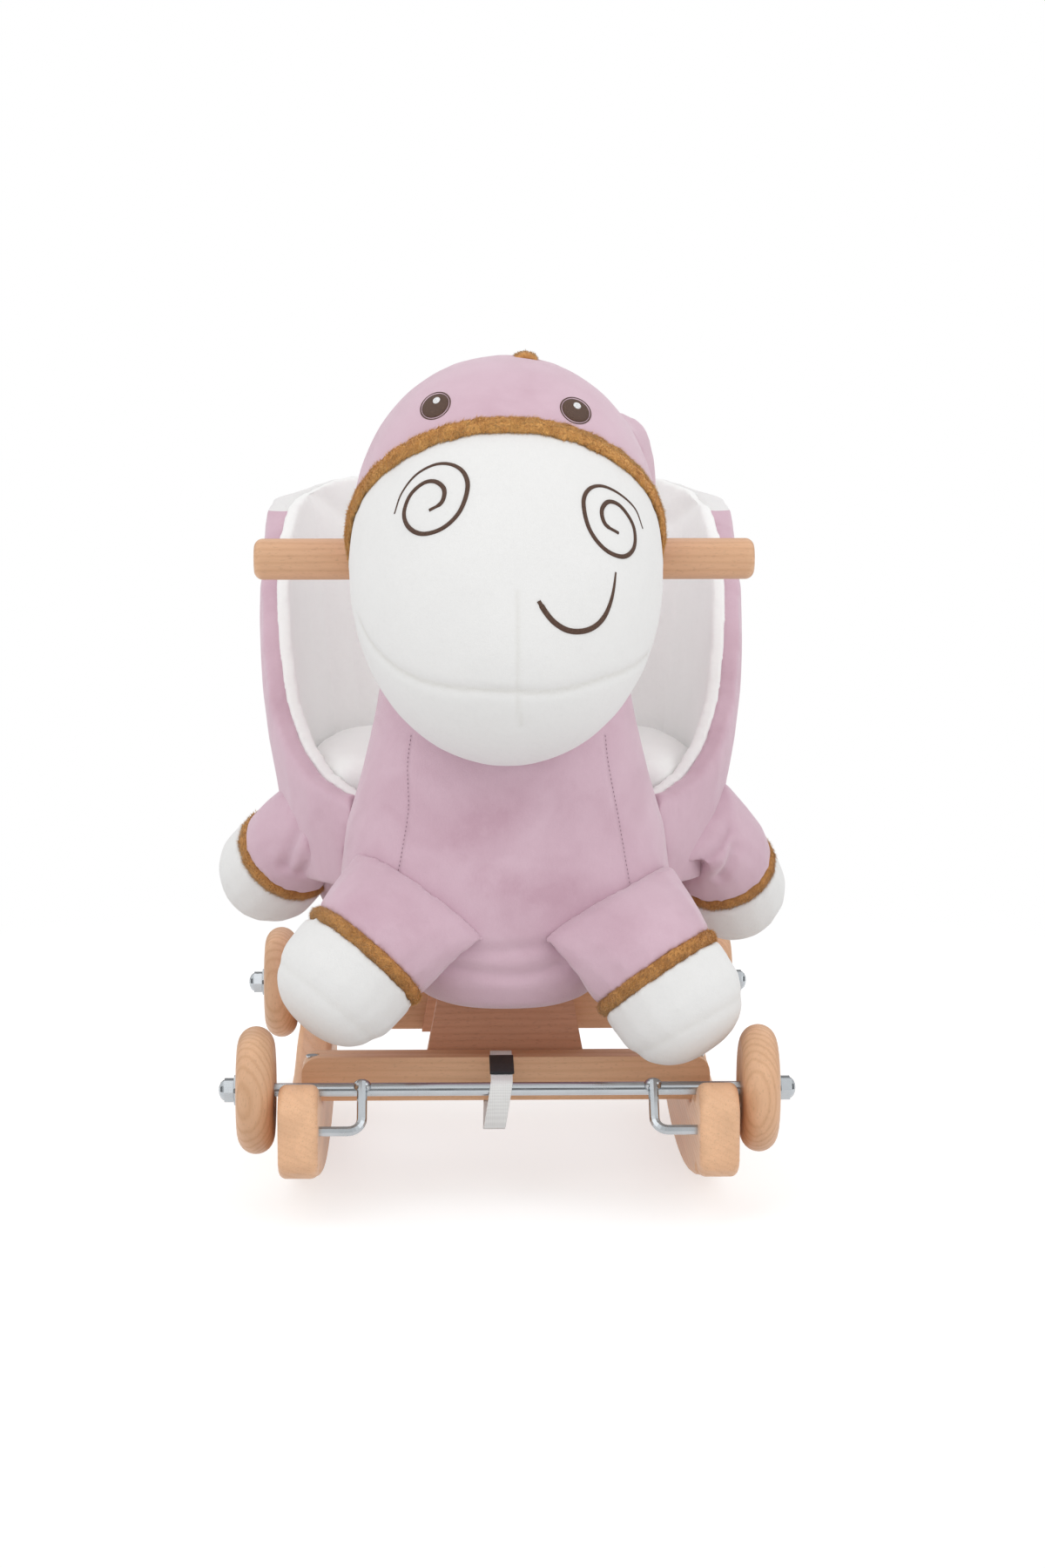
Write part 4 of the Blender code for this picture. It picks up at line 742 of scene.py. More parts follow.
def haired(piece, each_mm2, length, comb, seed):
    """Short hairs over a piece, each a closed spike that leans the way the fur is combed."""
    chance = random.Random(seed)
    mesh = piece.data
    points = [vertex.co.copy() for vertex in mesh.vertices]
    faces = [tuple(face.vertices) for face in mesh.polygons]
    marks = [0.0] * len(points)
    for face in mesh.polygons:
        corners = [mesh.vertices[i].co for i in face.vertices]
        wanted = face.area * 1e6 * each_mm2
        for _ in range(int(wanted) + (chance.random() < wanted % 1)):
            share, turn = chance.random(), chance.random()
            spot = corners[0].lerp(corners[1], share).lerp(corners[-1].lerp(corners[-2], share), turn)
            lean = comb(spot, face.normal)
            lean = lean - face.normal * lean.dot(face.normal)
            way = lean.normalized() + face.normal * (HAIR_UP + HAIR_UP_VARIES * chance.random())
            way += Vector([chance.gauss(0, HAIR_SPREAD) for _ in range(3)])
            way.normalize()
            side = way.cross(face.normal)
            side = side.normalized() * HAIR_HALF_WIDE
            back = way.cross(side).normalized() * HAIR_HALF_THICK
            foot = spot - face.normal * HAIR_ROOT
            start = len(points)
            long = length * (HAIR_SHORTEST + HAIR_LONGER * chance.random())
            points += [foot - side, foot + side, foot + back, foot + way * long]
            marks += [HAIR_FOOT_MARK] * 3 + [1.0]
            faces += [(start, start + 1, start + 3), (start + 1, start + 2, start + 3),
                      (start + 2, start, start + 3), (start, start + 2, start + 1)]
    full = bpy.data.meshes.new(piece.name + "_haired")
    full.from_pydata(points, [], faces)
    full.attributes.new("hair", "FLOAT", "POINT").data.foreach_set("value", marks)
    piece.data = full
    smooth_all(piece)
    return piece


def furry(name, node, voxel, comb, length=HAIR_LONG, each_mm2=HAIRS_EACH_MM2, fur=None):
    """A fur piece from its node: soft core and short hairs."""
    piece = refined(remeshed(copy_of(node, name), voxel, 6))
    haired(piece, each_mm2, length, comb, len(name))
    dress(piece, fur or finish_of("fur", fur_cloth), (node,))
    return piece


def stuffed(name, node, cloth, voxel, rounds=8, swell=1.0, held=None, seams=(), courses=(),
            backed=None):
    """A stuffed form made from a frame node: even mesh, filled, refined and seamed."""
    piece = copy_of(node, name)
    if backed:
        backed(piece)
    remeshed(piece, voxel, rounds)
    swelled(piece, sizes().swell * swell, held)
    refined(piece)
    laid = [(near_course(piece, course), *shares) for course, *shares in courses]
    seamed(piece, (*seams, *laid))
    dress(piece, cloth, (node,))
    return piece


def shared(courses, shares):
    """Courses, each with its shares of a seam's depth, width and painted shade."""
    return [(course, *shares) for course in courses]


def outline_edges(shape):
    """The sharp edges that run round a piece's whole outline, not those of its bores."""
    sharp = {edge for edge in shape.edges if edge.calc_face_angle(0.0) > EDGE_ANGLE}
    outline = []
    while sharp:
        run, fresh = [], [sharp.pop()]
        while fresh:
            edge = fresh.pop()
            run.append(edge)
            near = {other for vert in edge.verts for other in vert.link_edges} & sharp
            sharp -= near
            fresh += near
        spots = [vert.co for edge in run for vert in edge.verts]
        if max((spot - spots[0]).length for spot in spots) > OUTLINE_SPAN:
            outline += run
    return outline


def rounded_wood(name, node, material):
    """A wooden piece whose outline is rounded over, its bores left as they are."""
    piece = copy_of(node, name)
    shape = bmesh.new()
    shape.from_mesh(piece.data)
    bmesh.ops.dissolve_limit(
        shape, angle_limit=LEVEL_ANGLE, verts=shape.verts[:], edges=shape.edges[:])
    bmesh.ops.bevel(
        shape, geom=outline_edges(shape), offset=ROCKER_EDGE, offset_type="OFFSET",
        segments=ROCKER_EDGE_STEPS, profile=0.5, affect="EDGES", clamp_overlap=False)
    shape.to_mesh(piece.data)
    shape.free()
    smooth_all(piece, 30)
    even = piece.modifiers.new("even", "WEIGHTED_NORMAL")
    even.keep_sharp = True
    apply_all(piece)
    return dress(piece, material, (node,))


def eased_wood(name, node, material):
    """A wooden piece from its node, with eased edges."""
    piece = copy_of(node, name)
    bpy.ops.object.mode_set(mode="EDIT")
    bpy.ops.mesh.select_all(action="SELECT")
    bpy.ops.mesh.dissolve_limited(angle_limit=LEVEL_ANGLE)
    bpy.ops.object.mode_set(mode="OBJECT")
    bevel = piece.modifiers.new("edge", "BEVEL")
    bevel.width = sizes().wood_edge
    bevel.segments = 4
    bevel.limit_method = "ANGLE"
    bevel.angle_limit = EDGE_ANGLE
    bevel.harden_normals = False
    apply_all(piece)
    smooth_all(piece, 32)
    return dress(piece, material, (node,))


def turned(name, profile, axis_at, direction, steps, material, replaced, body):
    """A turned wooden piece: a closed profile of (radius, height) spun about an axis."""
    shape = bmesh.new()
    corners = [shape.verts.new((radius, 0.0, height)) for radius, height in profile]
    for first, second in zip(corners, corners[1:] + corners[:1]):
        shape.edges.new((first, second))
    bmesh.ops.spin(
        shape, geom=shape.verts[:] + shape.edges[:], cent=(0, 0, 0), axis=(0, 0, 1),
        angle=math.tau, steps=steps, use_merge=True, use_normal_flip=False, use_duplicate=False)
    bmesh.ops.remove_doubles(shape, verts=shape.verts, dist=WELD)
    bmesh.ops.recalc_face_normals(shape, faces=shape.faces)
    turn = Vector(direction).to_track_quat("Z", "Y").to_matrix().to_4x4()
    bmesh.ops.transform(shape, matrix=Matrix.Translation(axis_at) @ turn, verts=shape.verts)
    return dress(piece_of(name, shape, 40), material, replaced, body)


def middle_of(node):
    """Middle of a node's box."""
    low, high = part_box(node)
    return (low + high) / 2


# ---------------------------------------------------------------- the view


def camera_place():
    """The camera's place and turn."""
    turn = Matrix.Rotation(-CAMERA_RIGHT, 4, "Z") @ Matrix.Rotation(math.pi / 2 - CAMERA_DOWN, 4, "X")
    return Matrix.Translation(CAMERA_AT) @ turn


def ray_through(across, down):
    """Start and direction of the photograph's line of sight through a place in its frame."""
    focal = LENS_MM / FILM_MM * PHOTO_HIGH
    look = Vector(((across - PHOTO_WIDE / 2) / focal, (PHOTO_HIGH / 2 - down) / focal, -1.0))
    return Vector(CAMERA_AT), (camera_place().to_3x3() @ look).normalized()


def tree_of(*pieces):
    """Search tree over finished pieces, in world places."""
    points, faces = [], []
    for piece in pieces:
        start = len(points)
        points += [vertex.co.copy() for vertex in piece.data.vertices]
        faces += [[start + index for index in face.vertices] for face in piece.data.polygons]
    return BVHTree.FromPolygons(points, faces)


def on_cloth(tree, across, down):
    """Point and outward direction where a place of the photograph's frame meets the cloth.

    A place just past the outline takes the outline's nearest point.
    """
    start, look = ray_through(across, down)
    spot, normal, _, _ = tree.ray_cast(start, look)
    if spot is None:
        spot, normal, _, _ = tree.find_nearest(start + look * start.length)
        for _ in range(8):
            level = start + look * (spot - start).dot(look)
            spot, normal, _, away = tree.find_nearest(level)
        if away > OUTLINE_REACH:
            raise RuntimeError("nothing is sewn at %.0f, %.0f" % (across, down))
        return spot, normal
    return spot, normal if normal.dot(look) < 0 else -normal


def curve_through(points, each):
    """A smooth run through points, each span in so many steps."""
    ends = [Vector(points[0]) * 2 - Vector(points[1])] + [Vector(point) for point in points]
    ends.append(ends[-1] * 2 - ends[-2])
    run = []
    for i in range(1, len(ends) - 2):
        p0, p1, p2, p3 = ends[i - 1:i + 3]
        for k in range(each):
            t = k / each
            run.append(0.5 * (2 * p1 + (p2 - p0) * t + (2 * p0 - 5 * p1 + 4 * p2 - p3) * t * t
                              + (3 * p1 - p0 - 3 * p2 + p3) * t ** 3))
    run.append(ends[-2])
    return run


# ---------------------------------------------------------------- pieces


class HORSE_OT_wood(bpy.types.Operator):
    """Rockers, bars, boards, wheels and handle in beech"""

    bl_idname = "horse.wood"
    bl_label = "Wooden pieces"

    def execute(self, context):
        long_grain = finish_of(
            "beech_along", wood, "y", "beech", ROCKER_PALER, ROCKER_CONTRAST)
        cross_grain = finish_of("beech_across", wood, "x")
        # The boards' darker colour is partly painted shade from the body above.
        board = finish_of("board_across", wood, "x", "board")
        for side, _ in SIDES:
            rounded_wood("rocker_%s_finished" % side, "rocker_" + side, long_grain)
        for end, _ in ENDS:
            eased_wood("crossbar_%s_finished" % end, "crossbar_" + end, cross_grain)
        for node in NODES:
            if "board" in node and "screw" not in node:
                finish_node(node, board)
        make_wheels()
        make_handle(cross_grain)
        return {"FINISHED"}


def make_wheels():
    """Four wheels with a full round tread, turned finer than the frame's."""
    grain = finish_of("beech_wheel", wood, "z", "beech", 1.0, WHEEL_CONTRAST)
    for end, _ in ENDS:
        for side, sign in SIDES:
            node = "wheel_%s_%s" % (end, side)
            low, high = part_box(node)
            middle = (low + high) / 2
            rim, half = (high.z - low.z) / 2, (high.x - low.x) / 2
            flat = rim - TREAD_DEEP
            face = [(BORE_R, half - BORE_EASING_DEEP), (BORE_R + BORE_EASING, half), (flat - FLAT_IN, half)]
            tread = [(flat, half)]
            for i in range(1, TREAD_STEPS):
                turn = math.pi / 2 - math.pi * i / TREAD_STEPS
                out = flat + (rim - flat) * math.cos(turn) ** TREAD_POWER
                tread.append((out, half * math.sin(turn)))
            tread.append((flat, -half))
            profile = face + tread + [(r, -x) for r, x in reversed(face)]
            turned(node + "_finished", profile, middle, (sign, 0, 0), WHEEL_SIDES, grain, (node,),
                   "wheel_body_%s_%s" % (end, side))


def make_handle(grain):
    """The dowel with its rounded ends, turned finer than the frame's."""
    low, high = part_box("handle")
    radius, half = (high.z - low.z) / 2, (high.x - low.x) / 2
    profile = [(0.0, half)]
    for i in range(HANDLE_EASING_STEPS + 1):
        turn = math.pi / 2 * (1 - i / HANDLE_EASING_STEPS)
        profile.append((radius - HANDLE_EASING * (1 - math.cos(turn)),
                        half - HANDLE_EASING * (1 - math.sin(turn))))
    profile += [(r, -x) for r, x in reversed(profile[1:])] + [(0.0, -half)]
    turned("handle_finished", profile, (low + high) / 2, (1, 0, 0), HANDLE_SIDES, grain, ("handle",),
           "horse")


class HORSE_OT_steel(bpy.types.Operator):
    """Axles with their welds, washers, cap nuts and screws in zinc-plated steel"""

    bl_idname = "horse.steel"
    bl_label = "Steel pieces"

    def execute(self, context):
        steel = finish_of("zinc_plating", plated_steel)
        for node in NODES:
            if node.startswith(("axle", "washer", "cap_nut")) or "screw" in node:
                finish_node(node, steel)
        for end, sign in ENDS:
            shape = bmesh.new()
            spots = [(side * CRANK_X, sign * (ROD_Y + WELD_OUT), ROD_Z + WELD_UP) for _, side in SIDES]
            add_beads(shape, [Matrix.Translation(spot) for spot in spots], WELD_HALVES, (16, 10))
            dress(piece_of("welds_" + end, shape), steel, (), end + "_axle")
        return {"FINISHED"}


class HORSE_OT_body(bpy.types.Operator):
    """Chest and rear body in pink velour"""

    bl_idname = "horse.body"
    bl_label = "Chest and rear body"

    def execute(self, context):
        cloth = finish_of("velour", velour_cloth)
        foot = NODES["chest_plush"].bound_box[0][2]
        rise = lambda co: min(1.0, max(0.0, (co.z - foot - HELD_FROM) / HELD_OVER))
        courses = shared(CHEST_SEAMS, CHEST_SEAM_SHARES) + shared(CHEST_FOLDS, CHEST_FOLD_SHARES)
        chest = stuffed("chest", "chest_plush", cloth, sizes().big_mesh * 0.8, 10,
                        courses=courses, held=rise)
        brushed(chest, BRUSHED, BRUSHED_REACH)
        # The stitches' dark colour is painted shade of the stitch holes.
        thread = finish_of("seam_thread", seam_thread)
        for (side, _), course in zip(SIDES, CHEST_SEAMS):
            running_stitch("chest_stitch_" + side, course, tree_of(chest), thread)
        stuffed("rear_body", "rear_body_plush", cloth, sizes().big_mesh, 10, held=rise)
        return {"FINISHED"}


def running_stitch(name, course, tree, thread):
    """A row of short stitches sunk in the pile along a course of the photograph's frame."""
    spots = [on_cloth(tree, *place) for place in curve_through(course, ROW_STEPS)]
    places = []
    way = 0.0
    for (first, normal), (second, _) in zip(spots, spots[1:]):
        span = (second - first).length
        along = (second - first).normalized()
        turn = along.to_track_quat("Z", "Y").to_matrix().to_4x4()
        while way < span:
            places.append(Matrix.Translation(first + along * way + normal * STITCH_PROUD) @ turn)
            way += STITCH_PITCH
        way -= span
    shape = bmesh.new()
    add_beads(shape, places, (STITCH_HALF, STITCH_HALF, STITCH_LONG / 2, 1.0), (8, 6))
    return dress(piece_of(name, shape), thread)


class HORSE_OT_seat(bpy.types.Operator):
    """Tub seat: white lining, pink padding and cushion"""

    bl_idname = "horse.seat"
    bl_label = "Tub seat"

    def execute(self, context):
        velour = finish_of("velour", velour_cloth)
        # The lining and cushion plush is made lighter as painted light against the shade inside the tub.
        plush = finish_of("lining_plush", white_cloth, LINING_PAINTED_LIGHT)
        stuffed("tub_lining", "seat_lining", plush, sizes().small_mesh * 0.8, 2,
                swell=0.0, courses=shared(TUB_CORNERS, TUB_FOLD_SHARES))
        padding = stuffed("tub_padding", "seat_outer", velour, sizes().small_mesh * 0.8,
                          3, swell=0.4, backed=over_board)
        lined_over(padding)
        brought_down(padding)
        cushion = stuffed("cushion", "seat_cushion", plush, sizes().small_mesh, 3,
                          swell=0.3)
        pressed_out(cushion, CUSHION_OUT)
        return {"FINISHED"}


def over_board(piece):
    """Add a layer of padding behind the back board, where its corners come near the cloth."""
    low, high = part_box("back_board")
    shape = bmesh.new()
    shape.from_mesh(NODES["back_board"].data)
    bmesh.ops.remove_doubles(shape, verts=shape.verts, dist=WELD)
    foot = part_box("seat_outer")[0].z + 0.001
    cut = bmesh.ops.bisect_plane(
        shape, geom=shape.verts[:] + shape.edges[:] + shape.faces[:], plane_co=(0, 0, foot),
        plane_no=(0, 0, 1), clear_inner=True)
    rim = [part for part in cut["geom_cut"] if isinstance(part, bmesh.types.BMEdge)]
    bmesh.ops.holes_fill(shape, edges=rim)
    for vert in shape.verts:
        share = (vert.co.y - low.y) / (high.y - low.y)
        vert.co.y = high.y + BOARD_COVER * (BOARD_COVER_OFF + share)
        vert.co.x *= BOARD_COVER_WIDER
    bmesh.ops.recalc_face_normals(shape, faces=shape.faces)
    shape.from_mesh(piece.data)
    shape.to_mesh(piece.data)
    shape.free()


def brought_down(padding):
    """Draw the padding's foot down over the body, the more the further forward."""
    for vertex in padding.data.vertices:
        below = SKIRT_FROM_Z - vertex.co.z
        if below > 0:
            forward = (SKIRT_BACK_Y - vertex.co.y) / (SKIRT_BACK_Y - SKIRT_FRONT_Y)
            vertex.co.z -= below * SKIRT_STRETCH * eased(forward)


def pressed_out(piece, reach):
    """Push a piece's walls level outwards, so that it lies against what surrounds it."""
    normals = [vertex.normal.copy() for vertex in piece.data.vertices]
    for vertex, normal in zip(piece.data.vertices, normals):
        vertex.co += Vector((normal.x, normal.y, 0.0)) * reach


def lined_over(padding):
    """Mark where the white lining wraps over the top of the tub's back."""
    turn_of = lambda co: math.atan2(co.x, co.y - TUB_MIDDLE_Y) / RIM_STEP
    tops = {}
    for vertex in padding.data.vertices:
        turn = round(turn_of(vertex.co))
        tops[turn] = max(tops.get(turn, 0.0), vertex.co.z)
    mark = padding.data.attributes.new("lined", "FLOAT", "POINT")
    for vertex in padding.data.vertices:
        turn = math.floor(turn_of(vertex.co))
        part = turn_of(vertex.co) - turn
        first = tops.get(turn, tops.get(turn + 1))
        top = first * (1 - part) + tops.get(turn + 1, first) * part
        full = eased((vertex.co.z - WRAP_FROM_Z) / (WRAP_FULL_Z - WRAP_FROM_Z))
        edge = top + WRAP_SOFT / 2 - (WRAP_DROP + WRAP_SOFT / 2) * full
        mark.data[vertex.index].value = min(1.0, max(0.0, 0.5 + (vertex.co.z - edge) / WRAP_SOFT))


class HORSE_OT_head(bpy.types.Operator):
    """Hood, muzzle, trim, mane and ears"""

    bl_idname = "horse.head"
    bl_label = "Head"

    def execute(self, context):
        velour = finish_of("velour", velour_cloth)
        plush = finish_of("plush", white_cloth)
        hood = stuffed("hood", "head_hood", velour, sizes().big_mesh, 8, swell=0.3)
        courses = ((MUZZLE_SEAM, *MUZZLE_SEAM_SHARES), (MUZZLE_MIDDLE, *MUZZLE_MIDDLE_SHARES))
        stuffed("muzzle_form", "muzzle", plush, sizes().big_mesh * 0.9, 8, swell=0.3,
                courses=courses)
        middle = middle_of("muzzle_trim")
        furry("muzzle_trim_fur", "muzzle_trim", TRIM_MESH,
              lambda spot, normal: normal.cross(spot - middle).normalized() + Vector(TRIM_COMB),
              fur=finish_of("trim_fur", fur_cloth, TRIM_LIGHTER))
        mane = furry("mane_fur", "mane", MANE_MESH, lambda spot, normal: Vector(MANE_COMB),
                     MANE_HAIR_LONG)
        for vertex in mane.data.vertices:
            share = eased((vertex.co.z - MANE_FROM_Z) / (MANE_FULL_Z - MANE_FROM_Z))
            vertex.co += Vector((MANE_ASIDE, 0.0, -MANE_SUNK)) * share
        for side, _ in SIDES:
            ear = stuffed("ear_%s_form" % side, "ear_" + side, velour,
                          sizes().small_mesh * 0.7, 4, swell=0.0)
            tucked(ear, tree_of(hood))
        return {"FINISHED"}


def tucked(ear, hood):
    """Lay the upper end of an ear down on the hood that it is sewn to."""
    top = max((vertex.co for vertex in ear.data.vertices), key=lambda co: co.z).copy()
    for vertex in ear.data.vertices:
        share = eased((vertex.co - top).length / EAR_TUCKED)
        spot, normal, _, _ = hood.find_nearest(vertex.co)
        vertex.co = (spot - normal * EAR_SUNK).lerp(vertex.co, share)


class HORSE_OT_face(bpy.types.Operator):
    """Embroidered eyes, cheek spirals and smile"""

    bl_idname = "horse.face"
    bl_label = "Embroidery"

    def execute(self, context):
        dark = finish_of("dark_thread", embroidery)
        white = finish_of("white_thread", embroidery, True)
        muzzle = tree_of(bpy.data.objects["muzzle_form"])
        hood = tree_of(bpy.data.objects["hood"])
        for name, course, wider in (("spiral_left", LEFT_SPIRAL, SPIRAL_WIDER),
                                    ("spiral_right", RIGHT_SPIRAL, SPIRAL_WIDER),
                                    ("smile", SMILE, SMILE_WIDER)):
            stitched_line(name, course, muzzle, dark, sizes().thread_width * wider)
        inner = (EYE_HALF_WIDE - EYE_LINE_IN, EYE_HALF_HIGH - EYE_LINE_IN)
        for side, spot, tilt, glint in EYES:
            stitched_patch("eye_" + side, spot, inner, tilt, hood, dark, EYE_PROUD)
            outline = [oval_place(spot, (EYE_HALF_WIDE, EYE_HALF_HIGH), tilt, math.tau * k / EYE_SIDES)
                       for k in range(EYE_SIDES + 1)]
            stitched_line("eye_%s_outline" % side, outline, hood, dark,
                          sizes().thread_width * EYE_LINE_WIDTH, False)
            stitched_patch("eye_%s_glint" % side, glint, (GLINT_HALF_WIDE, GLINT_HALF_HIGH), tilt,
                           hood, white, GLINT_PROUD)
        return {"FINISHED"}


def oval_place(spot, halves, tilt, angle):
    """A place on a tilted oval of the photograph's frame."""
    turn = math.radians(tilt)
    across, up = halves[0] * math.cos(angle), halves[1] * math.sin(angle)
    return (spot[0] + across * math.cos(turn) - up * math.sin(turn),
            spot[1] - across * math.sin(turn) - up * math.cos(turn))


def stitched_line(name, course, tree, thread, width, tapered=True):
    """A raised satin line along a course of the photograph's frame, on the cloth."""
    spots = [on_cloth(tree, *place) for place in curve_through(course, LINE_STEPS)]
    shape = bmesh.new()
    rings = []
    last = len(spots) - 1
    for i, (spot, normal) in enumerate(spots):
        along = (spots[min(i + 1, last)][0] - spots[max(i - 1, 0)][0]).normalized()
        side = along.cross(normal).normalized()
        share = i / last
        half = width / 2
        if tapered:
            half *= LINE_THIN + LINE_SWELL * min(1.0, share * LINE_SWELLS_OVER)
            half *= 1.0 if share < LINE_END_FROM else LINE_END
        turns = [math.tau * k / LINE_SIDES for k in range(LINE_SIDES)]
        rings.append([shape.verts.new(
            spot + side * half * math.cos(turn)
            + normal * (STITCH_PROUD + half * LINE_RISE * math.sin(turn))) for turn in turns])
    walls(shape, rings)
    shape.faces.new(rings[-1])
    bmesh.ops.recalc_face_normals(shape, faces=shape.faces)
    return dress(piece_of(name, shape), thread)


def stitched_patch(name, spot, halves, tilt, tree, thread, proud):
    """A raised oval of stitching on the cloth, half sizes in the photograph's frame."""
    shape = bmesh.new()
    rows = []
    heights = [(1.0, PATCH_SUNK), (1.0, PATCH_RIM)] + [(share, rise * proud) for share, rise in PATCH_ROWS]
    for share, height in heights:
        row = []
        for k in range(PATCH_SIDES):
            size = (halves[0] * share, halves[1] * share)
            at, normal = on_cloth(tree, *oval_place(spot, size, tilt, math.tau * k / PATCH_SIDES))
            row.append(shape.verts.new(at + normal * height))
        rows.append(row)
    walls(shape, rows)
    at, normal = on_cloth(tree, *spot)
    tip = shape.verts.new(at + normal * proud)
    for k in range(PATCH_SIDES):
        shape.faces.new((rows[-1][k], rows[-1][(k + 1) % PATCH_SIDES], tip))
    bmesh.ops.recalc_face_normals(shape, faces=shape.faces)
    return dress(piece_of(name, shape), thread)


class HORSE_OT_legs(bpy.types.Operator):
    """Cuffs, fur bands and paws"""

    bl_idname = "horse.legs"
    bl_label = "Legs"

    def execute(self, context):
        velour = finish_of("velour", velour_cloth)
        plush = finish_of("plush", white_cloth)
        for end, _ in ENDS:
            for side, _ in SIDES:
                leg = "%s_leg_%s" % (end, side)
                folds = REAR_CUFF_FOLDS[side] if end == "rear" else ()
                stuffed(leg + "_cuff_form", leg + "_cuff", velour,
                        sizes().small_mesh * 0.85, 3, swell=0.4,
                        courses=shared(folds, CUFF_FOLD_SHARES))
                middle = middle_of(leg + "_band")
                way = (middle_of(leg + "_paw") - middle).normalized()
                sole = near_ring(middle + way * SOLE_AT, way)
                stuffed(leg + "_paw_form", leg + "_paw", plush, sizes().small_mesh, 5,
                        swell=0.5, seams=((sole, *SOLE_SHARES),))
                furry(leg + "_band_fur", leg + "_band", BAND_MESH,
                      lambda spot, normal: way.cross(spot - middle).normalized() + way * BAND_COMB_DOWN)
        return {"FINISHED"}


def near_ring(middle, way):
    """Distance to the plane of a ring."""
    return lambda co: abs((co - middle).dot(way))


class HORSE_OT_tail(bpy.types.Operator):
    """Tail and its tuft"""

    bl_idname = "horse.tail"
    bl_label = "Tail"

    def execute(self, context):
        velour = finish_of("velour", velour_cloth)
        stuffed("tail_form", "tail", velour, TAIL_MESH, 3, swell=0.0)
        furry("tail_tuft_fur", "tail_tuft", TAIL_MESH, lambda spot, normal: Vector(TUFT_COMB),
              TUFT_HAIR_LONG, TUFT_HAIRS_EACH_MM2)
        return {"FINISHED"}


class HORSE_OT_straps(bpy.types.Operator):
    """Webbing straps and their hook tape"""

    bl_idname = "horse.straps"
    bl_label = "Straps"

    def execute(self, context):
        webbing = finish_of("webbing", webbing_cloth)
        hooks = finish_of("hook_tape", hook_tape)
        for end, _ in ENDS:
            for node, cloth, slot in (("strap_" + end, webbing, "white_webbing"),
                                      ("strap_hook_pad_" + end, hooks, "black_hook_tape")):
                piece = copy_of(node, node + "_cloth")
                soften = piece.modifiers.new("soften", "BEVEL")
                soften.width = STRAP_EASING
                soften.segments = 2
                apply_all(piece)
                smooth_all(piece, 40)
                dress(piece, cloth, (node,))
        return {"FINISHED"}


class HORSE_OT_stage(bpy.types.Operator):
    """Pale floor, white surroundings, soft light and the photograph's camera"""

    bl_idname = "horse.stage"
    bl_label = "Stage"

    def execute(self, context):
        make_floor()
        make_lights()
        data = bpy.data.cameras.new("photo_camera")
        data.lens = LENS_MM
        data.sensor_width = FILM_MM
        data.clip_end = 50.0
        camera = bpy.data.objects.new("photo_camera", data)
        bpy.context.scene.collection.objects.link(camera)
        camera.matrix_world = camera_place()
        bpy.context.scene.camera = camera
        bpy.context.scene.view_settings.view_transform = "Standard"
        return {"FINISHED"}


def rays(tree, *kinds):
    """For each kind of ray, 1 where it is looked along."""
    path = tree.nodes.new("ShaderNodeLightPath")
    return [Value(tree, path.outputs["Is %s Ray" % kind]) for kind in kinds]


def make_floor():
    """A wide pale floor that is white where no shadow falls, and fades to white far out."""
    bpy.ops.object.select_all(action="DESELECT")
    bpy.ops.mesh.primitive_plane_add(size=FLOOR_WIDE, location=(0, 0, 0))
    floor = bpy.context.active_object
    floor.name = "floor"
    pale = Finish("pale_floor", base_color=(FLOOR_TONE,) * 3, roughness=FLOOR_ROUGH)
    pale.set(specular_ior_level=0.0, emission_color=(1.0, 1.0, 1.0))
    camera, mirror, glass = rays(pale.tree, "Camera", "Glossy", "Transmission")
    seen = camera.most(mirror).most(glass)
    pale.set(emission_strength=seen * FLOOR_GLOW + (1.0 - seen) * FLOOR_LIT)
    far = pale.node("ShaderNodeVectorMath", {"operation": "LENGTH"}, {0: pale.place}, output="Value")
    share = pale.node("ShaderNodeMapRange", {"interpolation_type": "SMOOTHSTEP"}, {
        "Value": far, "From Min": FLOOR_FADE_FROM, "From Max": FLOOR_FADE_TO})
    mixed = pale.node("ShaderNodeMixShader", None, {
        0: share, 1: Value(pale.tree, pale.shader.outputs[0]), 2: pale.node("ShaderNodeEmission")})
    pale.tree.links.new(mixed.socket, pale.tree.nodes["Material Output"].inputs["Surface"])
    floor.data.materials.append(pale.made)


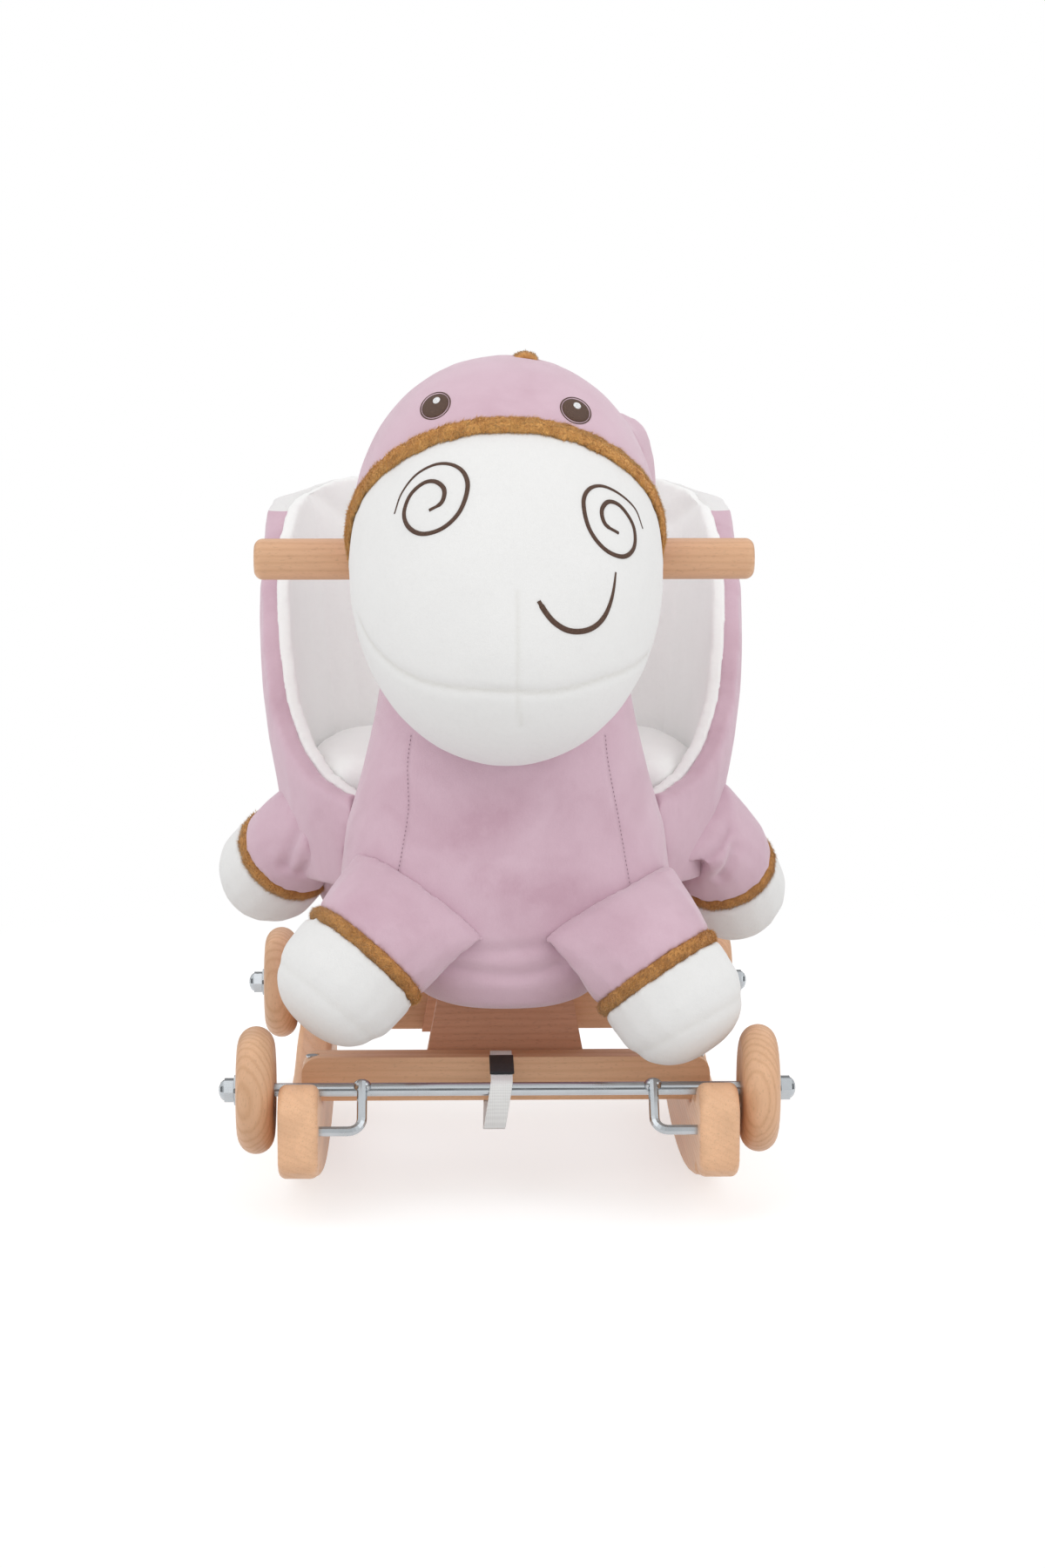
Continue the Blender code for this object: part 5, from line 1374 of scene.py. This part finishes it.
def make_lights():
    """White surroundings and three soft lamps."""
    world = bpy.data.worlds.new("white_room")
    bpy.context.scene.world = world
    world.use_nodes = True
    tree = world.node_tree
    ground = tree.nodes["Background"]
    ground.inputs["Color"].default_value = (1.0, 1.0, 1.0, 1.0)
    camera, glossy = rays(tree, "Camera", "Glossy")
    place = tree.nodes.new("ShaderNodeTexCoord")
    height = tree.nodes.new("ShaderNodeSeparateXYZ")
    tree.links.new(place.outputs["Generated"], height.inputs[0])
    studio = tree.nodes.new("ShaderNodeValToRGB")
    ramp = studio.color_ramp.elements
    ramp[0].position, ramp[1].position = 0.0, 1.0
    for at, light in ROOM_BANDS:
        stop = ramp[0] if at == 0.0 else ramp[-1] if at == 1.0 else ramp.new(at)
        stop.color = (light, light, light, 1.0)
    feed(tree, studio.inputs[0], Value(tree, height.outputs[2]) * 0.5 + 0.5)
    room = Value(tree, studio.outputs[0])
    soft = glossy * room + (1.0 - glossy) * ROOM_LIGHT
    feed(tree, ground.inputs["Strength"], camera + (1.0 - camera) * soft)
    for name, place, size, power in LAMPS:
        data = bpy.data.lights.new(name, "AREA")
        data.shape = "SQUARE"
        data.size = size
        data.energy = power
        lamp = bpy.data.objects.new(name, data)
        bpy.context.scene.collection.objects.link(lamp)
        lamp.location = place
        aim = Vector(LAMPS_AIM) - Vector(place)
        lamp.rotation_euler = aim.to_track_quat("-Z", "Y").to_euler()


class HORSE_PT_finishes(bpy.types.Panel):
    """Sizes, colours and making steps"""

    bl_label = "Rocking horse"
    bl_idname = "HORSE_PT_finishes"
    bl_space_type = "VIEW_3D"
    bl_region_type = "UI"
    bl_category = "Rocking horse"

    def draw(self, context):
        layout = self.layout
        for group in (context.scene.horse_colours, context.scene.horse_sizes):
            box = layout.box()
            for name in group.bl_rna.properties.keys():
                if name not in ("rna_type", "name"):
                    box.prop(group, name)
        for step in STEPS:
            layout.operator("horse." + step)


STEPS = ("wood", "steel", "body", "seat", "head", "face", "legs", "tail", "straps", "stage")
CLASSES = (
    HorseColours, HorseSizes, HORSE_OT_wood, HORSE_OT_steel, HORSE_OT_body, HORSE_OT_seat,
    HORSE_OT_head, HORSE_OT_face, HORSE_OT_legs, HORSE_OT_tail, HORSE_OT_straps, HORSE_OT_stage,
    HORSE_PT_finishes)


def register():
    """Add the classes and the scene's settings."""
    for made in CLASSES:
        bpy.utils.register_class(made)
    bpy.types.Scene.horse_colours = bpy.props.PointerProperty(type=HorseColours)
    bpy.types.Scene.horse_sizes = bpy.props.PointerProperty(type=HorseSizes)


def unregister():
    """Take them away again."""
    del bpy.types.Scene.horse_sizes
    del bpy.types.Scene.horse_colours
    for made in reversed(CLASSES):
        bpy.utils.unregister_class(made)


def main():
    """Make every piece."""
    register()
    for step in STEPS:
        getattr(bpy.ops.horse, step)()


if __name__ == "__main__":
    main()
